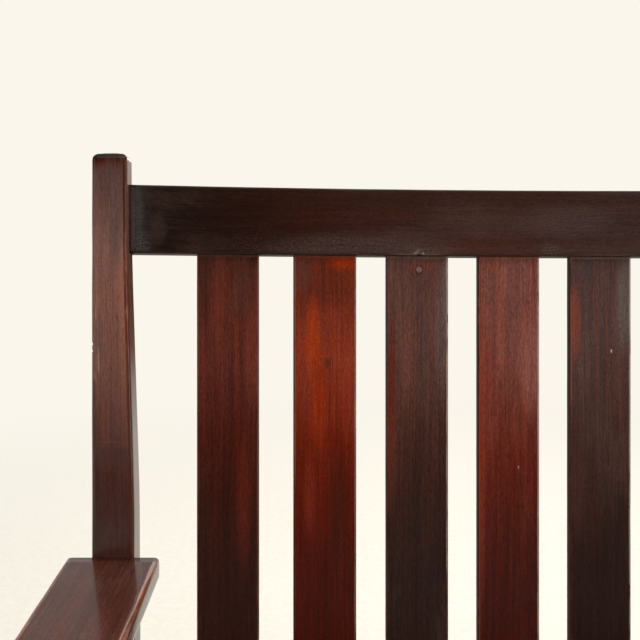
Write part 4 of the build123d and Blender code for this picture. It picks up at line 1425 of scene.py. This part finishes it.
# The strips of one direction, first to last: their places, those of the strips they cross, and whether the
# first goes over (1) or under (-1) its first crossing
def weaveSet(name, node, direction, side, places, crossed, first, middleZ, material):
    low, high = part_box(node)
    start, end = low.dot(direction), high.dot(direction)
    inset = webbingPlan["onBar"]
    crossings = [spot - start for spot in crossed]
    for i, place in enumerate(places):
        path = weavePath(crossings, first if i % 2 == 0 else -first, (inset, end - start - inset))
        spot = direction * start + side * place + upDir * middleZ
        strip = makeStrip(f"{name}{i + 1}", spot, direction * (end - start), side, path, material)
        dress(strip, node, "drop_in_seat")


def makeWebbing():
    material = juteFinish()
    longLow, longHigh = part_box("seat_webbing_long")
    crossLow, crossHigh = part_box("seat_webbing_cross")
    rows = evenPlaces(longLow.y, longHigh.y, webbingPlan["long"])
    columns = evenPlaces(crossLow.x, crossHigh.x, webbingPlan["cross"])
    weaveSet("longWebbing", "seat_webbing_long", acrossDir, rearDir, rows, columns,
             -1, crossLow.z, material)
    weaveSet("crossWebbing", "seat_webbing_cross", rearDir, acrossDir, columns, rows,
             1, crossLow.z, material)


makeWebbing()
print("webbing ready")


# The round plug in the third slat: domed, a little proud, its end grain showing
plugPlan = {
    "proud": 0.30 * mm,
    "dome": 0.35 * mm,
    "edge": 0.45 * mm,
    "shift": 0.7 * mm,
    "sides": 40,
}


def endGrainFinish(name, tone, deepTone, place=None):
    shade = Shader(name)
    grain = place(shade) if place else shade.attribute("grain", 1)
    across, deep, along = shade.parts(grain)
    rings = shade.noise(shade.stretched(grain, (260, 260, 900)), detail=2)
    pores = shade.noise(shade.stretched(grain, (2600, 2600, 2600)), detail=2, roughness=0.7)
    colour = shade.blend(shade.between(rings, 0.35, 0.65), paint(*tone), paint(*deepTone))
    colour = shade.blend(shade.between(pores, 0.55, 0.68) * 0.7, colour, paint(44, 24, 18))
    normal = shade.bump(pores + rings * 0.5, 0.10 * mm, 0.8)
    return shade.finish(colour=colour, roughness=0.55, normal=normal, specular=0.2, coat=0.1)


def makePlug():
    low, high = backBox("slat_plug")
    centre = (low + high) / 2
    radius = (high.z - low.z) / 2
    across, deep = bowDirections(math.asin(centre.x / bowMiddle))
    place = backPoint(*centre) - across * plugPlan["shift"]
    half = slatPlan["thickness"] / 2 + plugPlan["proud"]
    edge = plugPlan["edge"]
    dome = plugPlan["dome"]
    outline = [
        (radius * 0.35, -half - dome * 0.88), (radius * 0.7, -half - dome * 0.5), (radius - edge, -half),
        (radius - edge * 0.3, -half + edge * 0.3), (radius, -half + edge), (radius, half - edge),
        (radius - edge * 0.3, half - edge * 0.3), (radius - edge, half), (radius * 0.6, half + dome * 0.3),
    ]
    points, grain, faces = [], [], []
    sides = plugPlan["sides"]
    for spread, away in outline:
        for k in range(sides):
            angle = 2 * math.pi * k / sides
            x, z = spread * math.cos(angle), spread * math.sin(angle)
            points.append(place + across * x + slopeDir * z + deep * away)
            grain.append((x, away, z))
    for a in range(0, (len(outline) - 1) * sides, sides):
        for k in range(sides):
            j = (k + 1) % sides
            faces.append((a + k, a + j, a + sides + j, a + sides + k))
    for row, away in ((0, -half - dome), (len(outline) - 1, half + dome * 0.4)):
        points.append(place + deep * away)
        grain.append((0, away, 0))
        for k in range(sides):
            faces.append((row * sides + k, row * sides + (k + 1) % sides, len(points) - 1))
    finish = endGrainFinish("plugEndGrain", (110, 86, 80), (84, 58, 53))
    plug = pieceOf("slatPlug", points, faces, (finish,), grain)
    dress(plug, "slat_plug")


makePlug()
print("plug ready")


# Pieces that keep their CAD shape get a finish of their own, their grain along one axis of the settle
def grainAlong(axis):
    def place(shade):
        x, y, z = shade.parts(shade.node("ShaderNodeTexCoord", out=3))
        return {"x": shade.join(z, y, x), "y": shade.join(x, z, y), "z": shade.join(x, y, z)}[axis]
    return place


def metalFinish(name, bright, dull, roughness):
    shade = Shader(name)
    place = shade.node("ShaderNodeTexCoord", out=3)
    patina = shade.noise(shade.stretched(place, (1, 1, 1)), 240, 4, 0.65)
    scratch = shade.noise(shade.stretched(place, (3000, 300, 900)), 1.0, 2, 0.6)
    colour = shade.blend(shade.between(patina, 0.4, 0.7), bright, dull)
    rough = roughness + (patina - 0.5) * 0.3
    return shade.finish(colour=colour, roughness=rough.limited(), metallic=1.0,
                        normal=shade.bump(scratch * 0.5 + patina * 0.5, 0.05 * mm, 0.6))


bareLook = lookOf((172, 134, 92), coat=0.0, specular=0.3, roughness=0.6, haze=0.0, streak=0.12,
                  darkness=0.35, glow=0.2)
keptFinishes = {
    "x": ("seat_frame_front", "seat_frame_back", "seat_cleats", "corner_blocks"),
    "y": ("seat_bearer", "seat_frame_left", "seat_frame_middle", "seat_frame_right", "seat_rail_dowels",
          "seat_frame_dowels"),
    "z": ("arm_dowels",),
}


def finishKeptNodes():
    finishes = {}
    for index, (axis, nodes) in enumerate(keptFinishes.items()):
        look = dict(bareLook, seed=90.0 + index)
        finish = woodFinish("bareHardwood" + axis.upper(), look, place=grainAlong(axis))
        finishes.update({node: finish for node in nodes})
    steel = metalFinish("screwSteel", (0.36, 0.33, 0.29, 1.0), (0.16, 0.12, 0.09, 1.0), 0.42)
    finishes.update({node: steel for node in ("arm_screws", "corner_block_screws", "cleat_screws")})
    nickel = metalFinish("glideNickel", (0.62, 0.59, 0.54, 1.0), (0.40, 0.37, 0.33, 1.0), 0.26)
    finishes["foot_glides"] = nickel
    plugs = endGrainFinish("armPlugEndGrain", (92, 52, 40), (66, 36, 28), grainAlong("y"))
    finishes["arm_screw_plugs"] = plugs
    for node, finish in finishes.items():
        for slot in cadNodes[node].material_slots:
            slot.material = finish


finishKeptNodes()
print("kept nodes finished")
